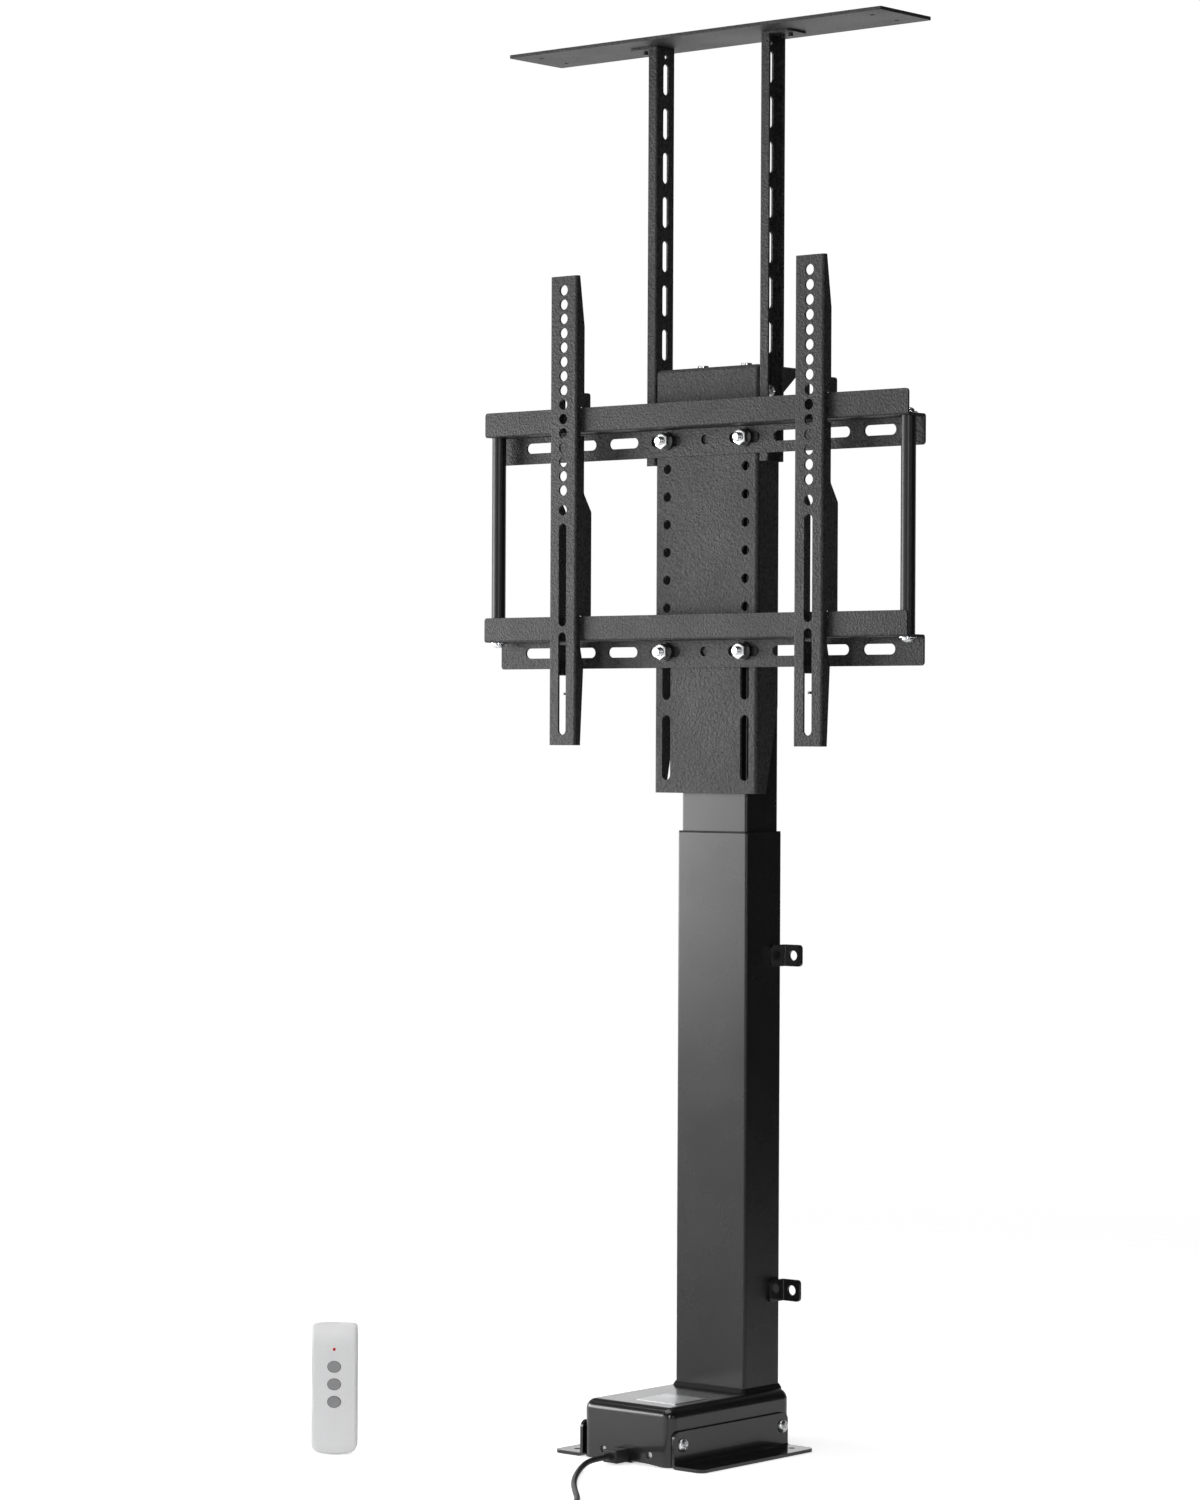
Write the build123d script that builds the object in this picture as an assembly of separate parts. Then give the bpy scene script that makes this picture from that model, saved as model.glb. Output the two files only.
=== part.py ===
from build123d import *
import math
import os

# An electric column lift for a flat television, in its fully raised state.
# Millimetres, +X along the rails, +Y to the back, +Z up. Shapes are drawn about the axis of the
# column, and save moves them so that the origin is on the floor, midway between its four holes.

# General
cut_over = 1.0
slide_gap = 0.3
running_gap = 0.08
glide_gap = 0.1
seat_gap = 0.25
hex_corner_share = 2 / math.sqrt(3)
head_crown_share = 0.6
arc_share = 0.45

# Column tubes
outer_width = 80.0
outer_depth = 50.0
outer_wall = 1.5
guide_room = 1.0
inner_wall = 1.8
tube_corner = 2.5
stroke = 400.0
tube_overlap = 86.0
parked_gap = 12.5
landing_gap = 2.5

# Guide collar at the mouth of the outer tube
collar_flange = 1.5
collar_sleeve = 30.0
collar_corner = 2.8

# Motor housing, a pressed steel cover that is open below
housing_half_width = 51.0
housing_front = -141.0
housing_back = 28.5
housing_height = 52.0
housing_wall = 2.0
housing_corner = 9.5
housing_edge = 9.0
housing_lift = 0.6
housing_arch = 2.2
housing_arch_half = 40.0
front_screw_x = 26.2
front_screw_z = 9.6
front_screw_recess = 3.4
front_screw_head = 3.0
front_screw_sink = 0.7
front_screw_radius = 1.75
front_screw_bite = 7.0
front_tab_wide = 14.0
front_tab_height = 17.0

# Base plate, a pan with turned up sides
pan_sheet = 2.5
pan_lift = 1.5
pan_side_height = 29.0
pan_side_inset = 1.0

# Foot brackets
foot_sheet = 3.0
foot_front_step = 1.0
foot_back_step = 8.5
foot_leg_height = 32.0
foot_leg_reach = 34.0
foot_corner = 7.0
foot_bend = 4.5
foot_hole_radius = 3.0
foot_hole_x = 70.0
foot_hole_pitch = 130.0
foot_hole_inset = 15.0
foot_screw_front_inset = 12.5
foot_screw_back_inset = 16.5
foot_screw_z = 20.0
foot_screw_radius = 2.5
foot_head_radius = 5.8
foot_head_height = 3.6
foot_nut_width = 8.0
foot_nut_height = 4.0

# Skirt at the foot of the column
skirt_height = 3.6
skirt_flare = 3.0
skirt_top = 1.0
skirt_drop = 6.0
skirt_drop_front = 22.0

# Bare plate on top of the housing, where a rating label would go
plate_low_x = -9.0
plate_wide = 44.0
plate_front = -116.0
plate_long = 42.0
plate_thick = 0.5

# Wall lugs on the sides of the column
lug_sheet = 2.5
lug_height = 19.5
lug_upper_drop = 110.0
lug_lower_z = 139.9
lug_leg = 21.5
lug_back = 4.5
lug_reach = 21.0
lug_hole_radius = 4.5
lug_hole_reach = 11.8
lug_corner = 3.5
lug_bend = 3.0
lug_inner_bend = 1.0

# Gearbox, spindle and worm drive
gearbox_front = -27.0
gearbox_back = 25.8
gearbox_height = 40.0
gearbox_half_width = 42.0
gearbox_corner = 5.0
worm_x = 21.0
worm_z = 24.0
worm_pitch_radius = 6.0
mesh_gap = 0.1
worm_length = 24.0
worm_shaft_radius = 2.5
worm_thread_pitch = 3.14
worm_tooth_depth = 2.2
wheel_teeth = 30
wheel_width = 12.0
wheel_room = 1.6
spindle_radius = 6.0
spindle_past_nut = 16.5
spindle_journal_radius = 5.0
bearing_radius = 13.0
bearing_width = 8.0
gearbox_screw_radius = 2.5
gearbox_screw_head = 4.5
gearbox_screw_head_height = 1.2
gearbox_screw_x = 37.0
gearbox_screw_y = 20.0
gearbox_screw_length = 34.0
motor_radius = 19.0
motor_length = 72.0
motor_plate = 2.0
motor_plate_half = 19.0
motor_cap = 10.0
motor_cap_step = 1.0
motor_edge = 1.5
motor_shaft_tail = 6.0
motor_magnet_radius = 6.0
motor_magnet = 3.0
motor_screw_radius = 1.5
motor_screw_inset = 3.0
motor_screw_head = 2.6
motor_screw_head_height = 1.8
motor_screw_bite = 4.0

# Plug that the outer tube stands round
column_foot_height = 12.0
column_foot_bore = 11.5
column_screw_x = 27.0
column_screw_y = 15.0
column_screw_length = 20.0

# Control board and socket
board_low_x = -46.0
board_wide = 40.0
board_front = -118.0
board_long = 86.0
board_thick = 1.6
board_post_height = 8.0
board_post_radius = 2.5
board_post_inset = 4.0
board_post_front = 16.0
relay_size = (15.0, 19.0, 15.5)
relay_y_shares = (0.42, 0.68)
relay_x_share = 0.25
transformer_size = (20.0, 22.0, 18.0)
transformer_shares = (0.72, 0.35)
terminal_size = (24.0, 8.0, 11.0)
terminal_shares = (0.5, 0.93)
capacitor_radius = 5.0
capacitor_height = 18.0
capacitor_shares = ((0.66, 0.66), (0.2, 0.17))
socket_x = -4.5
socket_deep = 17.0
socket_wall = 1.0
socket_back_wall = 3.0
lead_plug_wide = 15.0
lead_plug_tall = 11.4
lead_plug_low = 1.6
lead_plug_out = 17.0
lead_plug_in = 12.0
lead_plug_corner = 1.2

# Inner tube ends
tube_cap_height = 16.0
glide_height = 26.0
glide_flange = 6.0
nut_radius = 12.0
nut_length = 30.0
nut_flange_radius = 17.0
nut_flange = 5.0

# Folded carriage bracket
bracket_half_width = 59.0
bracket_front = -36.0
bracket_height = 381.0
bracket_sheet = 2.5
bracket_bend = 3.5
bracket_inner_bend = 1.0
wing_back = -6.2
wing_foot_back = -22.5
wing_taper_height = 77.0
gusset_back = 25.0
gusset_low = 28.7
gusset_high = 2.8
hole_column_x = 45.0
hole_pitch = 25.0
hole_count = 7
hole_radius = 4.25
first_hole_drop = 64.7
slot_width = 9.5
slot_upper_length = 59.2
slot_upper_rise = 16.0
slot_lower_length = 58.5
slot_spacing = 13.6
cap_screw_x = 25.0
cap_screw_y = 10.0
cap_screw_radius = 3.0
cap_screw_head = 5.2
cap_screw_head_height = 4.0
cap_screw_length = 14.0
cap_screw_key = 4.0

# Rails, folded to a Z section
rail_half_length = 242.5
rail_sheet = 2.0
rail_depth = 26.0
rail_lip = 22.5
rail_flange = 26.6
rail_bend = 2.5
rail_inner_bend = 0.8
rail_corner = 3.0
rail_spacing = 189.5
rail_slot_count = 4
rail_slot_pitch = 50.0
rail_slot_length = 34.6
rail_slot_width = 9.3
rail_centre_radius = 4.25
rail_bolt_drop = 12.1

# Rail bolts, from behind through bracket and rail
bolt_radius = 4.0
bolt_head_radius = 9.0
bolt_head_height = 3.2
bolt_out = 13.0
washer_radius = 8.5
washer_thick = 1.6
nut_width = 13.0
nut_height = 6.5
bolt_chamfer = 0.8

# Posts between the rails
post_radius = 6.5
post_inset = 7.5
post_back_share = 0.43
post_screw_radius = 3.0
post_screw_flange = 8.0
post_screw_rim = 1.2
post_screw_head = 5.4
post_screw_height = 5.0
post_screw_bite = 14.0

# Lid struts, channels with their webs against the bracket wings
strut_sheet = 2.0
strut_front = -35.7
strut_depth = 25.6
strut_wide = 10.0
strut_back_wide = 8.0
strut_rise = 293.4
strut_length = 379.5
strut_bend = 2.2
strut_slot_count = 9
strut_slot_pitch = 40.0
strut_slot_length = 28.1
strut_slot_width = 7.5
strut_slot_drop = 15.4
strut_tab = 33.0
strut_tab_corner = 4.0
strut_hole_radius = 2.0
strut_hole_drop = 9.0
strut_bolt_radius = 3.0
strut_bolt_head = 5.6
strut_bolt_head_height = 4.2
strut_slots_above_count = 7
strut_bolt_rise = 6.4
strut_nut_width = 10.0
strut_nut_height = 5.0

# Lid plate
lid_half_width = 213.0
lid_front = -64.0
lid_depth = 73.5
lid_thick = 3.0
lid_corner = 1.5
lid_hole_x = 190.0
lid_hole_y = -27.3
lid_hole_spacing = 35.0
lid_hole_radius = 2.25
lid_screw_radius = 2.0
lid_screw_head = 3.8
lid_screw_head_height = 2.2
lid_screw_inset = 9.0

# Mounting arms
arm_x = 141.0
arm_face = 32.0
arm_sheet = 2.0
arm_front = -69.0
arm_rise = 152.5
arm_below = 84.5
arm_bend = 2.5
arm_corner = 2.0
arm_hole_drop = 12.8
arm_hole_pitch = 13.0
arm_hole_count = 15
arm_hole_radius = 4.75
arm_odd_step = 18.0
arm_slot_width = 9.0
arm_slot_upper_drop = 224.8
arm_slot_upper_length = 93.7
arm_slot_lower_inset = 9.4
arm_slot_lower_length = 93.2
arm_top_depth = 4.5
arm_mid_depth = 11.0
arm_mid_drop = 46.0
arm_deep_depth = 21.5
arm_deep_drop = 61.8
arm_deep_start_drop = 45.3
arm_foot_depth = 7.0
arm_low_depth = 11.0
arm_low_drop = 14.0
hook_depth = 19.5
hook_high = 13.7
hook_grip = 12.5
hook_corner = 2.5
hook_play = 0.9
hook_seat = 0.5
hook_clear = 3.0
lock_tab_drop = 30.9
lock_tab_wide = 14.0
lock_tab_depth = 21.0
lock_tongue_depth = 25.0
lock_screw_x = 7.5
lock_screw_y = -49.5
lock_screw_radius = 2.5
lock_screw_head = 5.7
lock_screw_head_height = 2.2
lock_screw_tail = 15.7

# Lead: a cord on the floor, a tied coil and a two pin plug
cord_radius = 2.5
exit_neck_radius = 3.4
cord_route = [
    (-4.5, -167.0, 7.3),
    (-4.5, -175.0, 7.3),
    (-5.2, -187.0, 6.1),
    (2.5, -205.0, 3.8),
    (19.0, -230.5, 2.6),
    (42.0, -260.0, 2.6),
    (68.5, -288.5, 2.6),
    (96.0, -316.5, 2.6),
    (116.5, -347.5, 3.0),
    (122.6, -382.0, 3.7),
    (122.6, -406.0, 3.7),
]
coil_pitch = 5.6
coil_radius = 34.6
coil_inward_halves = 6
coil_outward_halves = 5
coil_end_run = 5.0
gap_samples_a_turn_count = 40
tail_route = [
    (0.0, 0.0, 0.0),
    (0.0, -20.0, 0.0),
    (8.0, -42.0, -1.2),
    (30.0, -53.5, -2.5),
    (46.0, -53.5, -2.5),
]
tie_width = 5.0
tie_thick = 0.8
tie_gap = 0.3
plug_relief_length = 22.0
plug_relief_radius = 4.2
plug_length = 34.0
plug_wide = 34.0
plug_tail_wide = 13.0
plug_thick = 13.6
plug_corner = 3.0
plug_pin_radius = 2.0
plug_pin_length = 19.0
plug_pin_spacing = 18.6

# Hand control, standing on the floor in front of the left end
remote_x = -225.0
remote_y = -275.0
remote_turn = 40.5
remote_wide = 41.0
remote_deep = 15.0
remote_tall = 116.0
remote_wall = 1.6
remote_corner = 4.5
remote_foot_corner = 8.0
remote_side_round = 3.0
remote_crown = 1.0
remote_foot_crown = 3.4
remote_brow = 18.0
remote_brow_depth = 5.5
remote_split = 6.5
remote_line_inset = 1.5
remote_line = 0.3
remote_line_deep = 0.4
remote_line_foot = 27.0
remote_line_head = 2.4
button_pitch = 15.5
button_stop_z = 62.3
button_half_wide = 5.7
button_half_tall = 4.8
button_stand = 0.9
button_travel = 0.8
button_gap = 0.2
button_rim = 1.0
button_rim_thick = 1.0
button_mark = 0.25
button_mark_wide = 4.4
button_mark_line = 0.8
square_mark_share = 0.8
square_hole_share = 0.7
chevron_rise_share = 0.7
chevron_line_share = 1.3
lamp_z = 93.2
lamp_radius = 1.4
lamp_stand = 0.4
remote_board_thick = 1.2
remote_board_margin = 3.0
battery_radius = 10.0
battery_thick = 3.2
battery_z = 26.0
remote_pocket = 0.6

# Places that follow from the sizes above
inner_width = outer_width - 2 * outer_wall - 2 * guide_room
inner_depth = outer_depth - 2 * outer_wall - 2 * guide_room
lug_hole_x = outer_width / 2 + lug_hole_reach
pan_top = pan_lift + pan_sheet
gearbox_top = pan_top + gearbox_height
column_foot_top = gearbox_top + column_foot_height
outer_top = column_foot_top + landing_gap + glide_flange + stroke + tube_overlap
collar_top = outer_top + collar_flange
inner_top = collar_top + parked_gap + stroke
inner_bottom = outer_top - tube_overlap
spindle_top = inner_bottom - glide_flange + nut_length + spindle_past_nut
bracket_top = inner_top + bracket_sheet
bracket_bottom = bracket_top - bracket_height
strut_top = bracket_top + strut_rise
upper_bolt_z = bracket_top - first_hole_drop
lower_bolt_z = upper_bolt_z - rail_spacing
arm_top = upper_bolt_z + arm_rise
arm_bottom = lower_bolt_z - arm_below
lock_tab_z = lower_bolt_z + rail_bolt_drop - rail_sheet - lock_tab_drop
rail_back = bracket_front
rail_lip_front = rail_back - rail_depth
strut_inner = bracket_half_width + slide_gap
strut_back = strut_front + strut_depth
strut_middle = strut_front + strut_depth / 2
strut_bolt_slot_top = strut_top - strut_slot_drop - strut_slots_above_count * strut_slot_pitch
strut_bolt_z = strut_bolt_slot_top - strut_slot_length + strut_bolt_rise
lug_upper_z = outer_top - lug_upper_drop
foot_inner = housing_half_width
foot_front = housing_front + foot_front_step
foot_back = housing_back - foot_back_step
foot_screw_front = housing_front + foot_screw_front_inset
foot_screw_back = housing_back - foot_screw_back_inset
housing_inner_front = housing_front + housing_wall
pan_half_width = housing_half_width - housing_wall - seat_gap
pan_front = housing_inner_front + seat_gap
pan_back = housing_back - housing_wall - seat_gap
pattern_y = foot_front + foot_hole_inset + foot_hole_pitch / 2

os.makedirs("parts", exist_ok=True)


def save(shape, name):
    export_step(Pos(0, -pattern_y, 0) * shape, "parts/" + name + ".step")


def brick(x, y, z):
    """Box between the low and high value given for each axis."""
    size = Box(x[1] - x[0], y[1] - y[0], z[1] - z[0])
    return Pos((x[0] + x[1]) / 2, (y[0] + y[1]) / 2, (z[0] + z[1]) / 2) * size


def bar(outline, x, y, z):
    """Prism of a flat outline along the one axis whose place is a (low, high) pair.

    The outline's own axes are Y and Z on an X prism, X and Z on a Y prism, X and Y on a Z one.
    """
    if isinstance(x, tuple):
        plane = Plane(origin=(x[0], y, z), x_dir=(0, 1, 0), z_dir=(1, 0, 0))
        return extrude(plane * outline, x[1] - x[0])
    if isinstance(y, tuple):
        plane = Plane(origin=(x, y[1], z), x_dir=(1, 0, 0), z_dir=(0, -1, 0))
        return extrude(plane * outline, y[1] - y[0])
    return extrude(Plane(origin=(x, y, z[0])) * outline, z[1] - z[0])


def rod(radius, x, y, z):
    return bar(Circle(radius), x, y, z)


def nut_shape(width, x, y, z):
    """Hexagonal prism, given its width across flats."""
    return bar(RegularPolygon(width / 2 * hex_corner_share, 6), x, y, z)


def upright_slot(length, width):
    return SlotOverall(length, width, rotation=90)


def shape_of(points):
    return make_face(Polyline(*points, close=True))


def rounded(sketch, radius, corners):
    """Rounds the sketch's vertices that lie nearest to the given corners."""
    vertices = sketch.vertices()
    picked = [min(vertices, key=lambda v: math.dist((v.X, v.Y), corner)) for corner in corners]
    return fillet(picked, radius)


def mirrored(shape):
    return mirror(shape, about=Plane.YZ)


def group(shapes):
    return Compound(children=list(shapes))


def tube_section(width, depth, wall, corner):
    inner_corner = max(corner - wall, corner / 4)
    hollow = RectangleRounded(width - 2 * wall, depth - 2 * wall, inner_corner)
    return RectangleRounded(width, depth, corner) - hollow


def edges_along(shape, axis, test):
    return [edge for edge in shape.edges().filter_by(axis) if test(edge.center())]


def domed_head(radius, height, x, y, z, side):
    """Screw head with a rounded crown, standing on a face along X (side +1 or -1)."""
    head = rod(radius, (x, x + height) if side > 0 else (x - height, x), y, z)
    crown = [edge for edge in head.edges() if abs(edge.center().X - (x + side * height)) < height / 2]
    return fillet(crown, height * head_crown_share)


# Motor housing with its cover plate, pan and feet
def housing_block():
    """Outer form of the motor housing, solid."""
    x = (-housing_half_width, housing_half_width)
    block = brick(x, (housing_front, housing_back), (housing_lift, housing_height))
    block = fillet(block.edges().filter_by(Axis.Z), housing_corner)
    return fillet(block.faces().sort_by(Axis.Z)[-1].edges(), housing_edge)


def make_motor_housing():
    x = (-housing_half_width, housing_half_width)
    shell = housing_block()
    inside_x = (x[0] + housing_wall, x[1] - housing_wall)
    inside_y = (housing_inner_front, housing_back - housing_wall)
    inside = brick(inside_x, inside_y, (housing_lift - housing_height, housing_height - housing_wall))
    inside = fillet(inside.edges().filter_by(Axis.Z), housing_corner - housing_wall)
    inside = fillet(inside.faces().sort_by(Axis.Z)[-1].edges(), housing_edge - housing_wall)
    shell -= inside
    tube_hole = RectangleRounded(outer_width + seat_gap, outer_depth + seat_gap, tube_corner)
    shell -= bar(tube_hole, 0, 0, (gearbox_top, housing_height + cut_over))
    arch_radius = (housing_arch_half**2 + housing_arch**2) / (2 * housing_arch)
    arch_z = housing_lift + housing_arch - arch_radius
    shell -= rod(arch_radius, 0, (housing_front - cut_over, housing_inner_front + cut_over), arch_z)
    for side in (-1, 1):
        wall = (side * (housing_half_width + cut_over), side * (housing_half_width - 2 * housing_wall))
        for y in (foot_screw_front, foot_screw_back):
            shell -= rod(foot_screw_radius + seat_gap, tuple(sorted(wall)), y, foot_screw_z)
        front = (housing_front - cut_over, housing_inner_front + cut_over)
        shell -= rod(front_screw_recess, side * front_screw_x, front, front_screw_z)
    opening_x = (socket_x - lead_plug_wide / 2 - seat_gap, socket_x + lead_plug_wide / 2 + seat_gap)
    opening_z = (lead_plug_low - seat_gap, lead_plug_low + lead_plug_tall + seat_gap)
    shell -= brick(opening_x, (housing_front - cut_over, housing_inner_front + cut_over), opening_z)
    return shell


def make_base_plate():
    """Pan whose turned up sides and front tabs take the screws of the cover."""
    middle_y = (pan_front + pan_back) / 2
    corner = housing_corner - housing_wall
    outline = RectangleRounded(2 * pan_half_width, pan_back - pan_front, corner)
    plate = bar(outline, 0, middle_y, (pan_lift, pan_top))
    for side in (-1, 1):
        sheet = sorted((side * pan_half_width, side * (pan_half_width - pan_sheet)))
        side_y = (pan_front + corner + pan_side_inset, pan_back - corner - pan_side_inset)
        plate += brick(tuple(sheet), side_y, (pan_lift, pan_side_height))
        tab_x = (side * front_screw_x - front_tab_wide / 2, side * front_screw_x + front_tab_wide / 2)
        plate += brick(tab_x, (pan_front, pan_front + pan_sheet), (pan_lift, front_tab_height))
    for side in (-1, 1):
        wall = sorted((side * (pan_half_width + cut_over), side * (pan_half_width - 2 * pan_sheet)))
        for y in (foot_screw_front, foot_screw_back):
            plate -= rod(foot_screw_radius + seat_gap, tuple(wall), y, foot_screw_z)
        hole_y = (pan_front - cut_over, pan_front + pan_sheet + cut_over)
        plate -= rod(front_screw_radius + seat_gap, side * front_screw_x, hole_y, front_screw_z)
        for end in (-1, 1):
            hole_z = (pan_lift - cut_over, pan_top + cut_over)
            hole_x = side * gearbox_screw_x
            plate -= rod(gearbox_screw_radius + seat_gap, hole_x, end * gearbox_screw_y, hole_z)
    notch_x = (socket_x - socket_half_wide() - seat_gap, socket_x + socket_half_wide() + seat_gap)
    notch_y = (pan_front - cut_over, housing_inner_front + socket_deep + seat_gap)
    plate -= brick(notch_x, notch_y, (pan_lift - cut_over, pan_top + cut_over))
    for x, y in board_post_places():
        plate += rod(board_post_radius, x, y, (pan_top, pan_top + board_post_height))
    return plate


def socket_half_wide():
    return lead_plug_wide / 2 + seat_gap + socket_wall


def board_post_places():
    places = []
    for x in (board_low_x + board_post_inset, board_low_x + board_wide - board_post_inset):
        for y in (board_front + board_post_front, board_front + board_long - board_post_inset):
            places.append((x, y))
    return places


def make_right_foot():
    inner = foot_inner
    outer = foot_inner + foot_leg_reach
    outline = shape_of([
        (inner, 0), (outer, 0), (outer, foot_sheet), (inner + foot_sheet, foot_sheet),
        (inner + foot_sheet, foot_leg_height), (inner, foot_leg_height),
    ])
    outline = rounded(outline, foot_bend, [(inner, 0)])
    outline = rounded(outline, foot_bend - foot_sheet, [(inner + foot_sheet, foot_sheet)])
    foot = bar(outline, 0, (foot_front, foot_back), 0)
    tips = edges_along(foot, Axis.Z, lambda c: c.X > outer - foot_sheet)
    foot = fillet(tips, foot_corner)
    tops = edges_along(foot, Axis.X, lambda c: c.Z > foot_leg_height - foot_sheet)
    foot = fillet(tops, foot_corner)
    for y in (foot_front + foot_hole_inset, foot_front + foot_hole_inset + foot_hole_pitch):
        foot -= rod(foot_hole_radius, foot_hole_x, y, (-cut_over, foot_sheet + cut_over))
    for y in (foot_screw_front, foot_screw_back):
        hole_x = (inner - cut_over, inner + foot_sheet + cut_over)
        foot -= rod(foot_screw_radius + seat_gap, hole_x, y, foot_screw_z)
    return foot


def make_housing_screws():
    """Foot screws with nuts inside the pan, and the two front screws."""
    shapes = []
    face = foot_inner + foot_sheet
    nut_face = pan_half_width - pan_sheet
    for y in (foot_screw_front, foot_screw_back):
        screw = domed_head(foot_head_radius, foot_head_height, face, y, foot_screw_z, 1)
        screw += rod(foot_screw_radius, (nut_face - foot_nut_height, face), y, foot_screw_z)
        nut = nut_shape(foot_nut_width, (nut_face - foot_nut_height, nut_face), y, foot_screw_z)
        screw += nut
        shapes += [screw, mirrored(screw)]
    head_y = (pan_front - housing_wall + front_screw_sink, pan_front)
    for x in (-front_screw_x, front_screw_x):
        screw = rod(front_screw_head, x, head_y, front_screw_z)
        screw += rod(front_screw_radius, x, (pan_front, pan_front + front_screw_bite), front_screw_z)
        shapes.append(screw)
    return group(shapes)


def make_blank_plate():
    return brick(
        (plate_low_x, plate_low_x + plate_wide),
        (plate_front, plate_front + plate_long),
        (housing_height, housing_height + plate_thick),
    )


# Column
def make_outer_tube():
    outline = tube_section(outer_width, outer_depth, outer_wall, tube_corner)
    return bar(outline, 0, 0, (gearbox_top, outer_top))


def make_column_skirt():
    """Flared rim round the foot of the tube, which reaches down over the housing's back edge."""
    hole = RectangleRounded(outer_width + seat_gap, outer_depth + seat_gap, tube_corner)
    wide = 2 * skirt_flare
    foot = RectangleRounded(outer_width + wide, outer_depth + wide, tube_corner + skirt_flare)
    slim = 2 * skirt_top
    rim = RectangleRounded(outer_width + slim, outer_depth + slim, tube_corner + skirt_top)
    low = housing_height
    skirt = loft([Plane(origin=(0, 0, low)) * foot, Plane(origin=(0, 0, low + skirt_height)) * rim])
    drop = bar(foot, 0, 0, (low - skirt_drop, low))
    span = (-outer_width, outer_width)
    drop &= brick(span, (skirt_drop_front, outer_depth), (low - skirt_drop, low))
    skirt += drop - housing_block()
    return skirt - bar(hole, 0, 0, (low - skirt_drop - cut_over, low + skirt_height + cut_over))


def make_guide_collar():
    """Plastic guide in the mouth of the outer tube, which the inner tube slides in."""
    hole = RectangleRounded(inner_width + 2 * glide_gap, inner_depth + 2 * glide_gap, tube_corner)
    width = outer_width - 2 * outer_wall - glide_gap
    depth = outer_depth - 2 * outer_wall - glide_gap
    sleeve = RectangleRounded(width, depth, tube_corner - outer_wall)
    collar = bar(sleeve, 0, 0, (outer_top - collar_sleeve, outer_top))
    flange = RectangleRounded(outer_width, outer_depth, collar_corner)
    collar += bar(flange, 0, 0, (outer_top, collar_top))
    return collar - bar(hole, 0, 0, (outer_top - collar_sleeve - cut_over, collar_top + cut_over))


def make_wall_lug(z):
    inner = outer_width / 2
    ear_back = outer_depth / 2 + lug_back
    ear_front = ear_back - lug_sheet
    outline = shape_of([
        (inner, ear_back - lug_leg), (inner + lug_sheet, ear_back - lug_leg),
        (inner + lug_sheet, ear_front), (inner + lug_reach, ear_front),
        (inner + lug_reach, ear_back), (inner, ear_back),
    ])
    outline = rounded(outline, lug_bend, [(inner, ear_back)])
    outline = rounded(outline, lug_inner_bend, [(inner + lug_sheet, ear_front)])
    lug = bar(outline, 0, 0, (z - lug_height / 2, z + lug_height / 2))
    outer_edges = edges_along(lug, Axis.Y, lambda c: c.X > inner + lug_reach - lug_sheet)
    lug = fillet(outer_edges, lug_corner)
    front_edges = edges_along(lug, Axis.X, lambda c: c.Y < ear_back - lug_leg + lug_sheet)
    lug = fillet(front_edges, lug_corner)
    return lug - rod(lug_hole_radius, lug_hole_x, (ear_front - cut_over, ear_back + cut_over), z)


def make_wall_lugs():
    lugs = [make_wall_lug(z) for z in (lug_lower_z, lug_upper_z)]
    return group(lugs + [mirrored(lug) for lug in lugs])


def corner_places(x, y):
    return [(side * x, end * y) for side in (-1, 1) for end in (-1, 1)]


def make_column_foot():
    """Plug that the outer tube stands round, screwed down on the gearbox."""
    width = outer_width - 2 * outer_wall - 2 * seat_gap
    depth = outer_depth - 2 * outer_wall - 2 * seat_gap
    outline = RectangleRounded(width, depth, tube_corner - outer_wall)
    plug = bar(outline, 0, 0, (gearbox_top, column_foot_top))
    plug -= rod(column_foot_bore, 0, 0, (gearbox_top - cut_over, column_foot_top + cut_over))
    head_low = column_foot_top - 2 * gearbox_screw_head_height
    for x, y in corner_places(column_screw_x, column_screw_y):
        plug -= rod(gearbox_screw_head + seat_gap, x, y, (head_low, column_foot_top + cut_over))
        plug -= rod(gearbox_screw_radius + seat_gap, x, y, (gearbox_top - cut_over, head_low))
    return plug


def make_column_screws():
    shapes = []
    head_low = column_foot_top - 2 * gearbox_screw_head_height
    for x, y in corner_places(column_screw_x, column_screw_y):
        screw = rod(gearbox_screw_head, x, y, (head_low, column_foot_top - running_gap))
        screw += rod(gearbox_screw_radius, x, y, (head_low - column_screw_length, head_low))
        shapes.append(screw)
    return group(shapes)


# Worm drive
def gearbox_room():
    """Space inside the gearbox for the wheel, the worm, their bearings and shafts."""
    wheel_radius = worm_x - worm_pitch_radius
    half = wheel_width / 2 + wheel_room
    room = rod(wheel_radius + wheel_room, 0, 0, (worm_z - half, worm_z + half))
    worm_half = worm_length / 2 + wheel_room
    room += rod(worm_pitch_radius + wheel_room, worm_x, (-worm_half, worm_half), worm_z)
    bearing_low = pan_top + pan_sheet
    room += rod(bearing_radius, 0, 0, (bearing_low, bearing_low + bearing_width))
    room += rod(bearing_radius, 0, 0, (gearbox_top - bearing_width, gearbox_top + cut_over))
    room += rod(spindle_journal_radius + wheel_room, 0, 0, (bearing_low, gearbox_top))
    shaft = (gearbox_front - cut_over, gearbox_back - 2 * pan_sheet)
    room += rod(worm_shaft_radius + running_gap, worm_x, shaft, worm_z)
    return room


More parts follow.
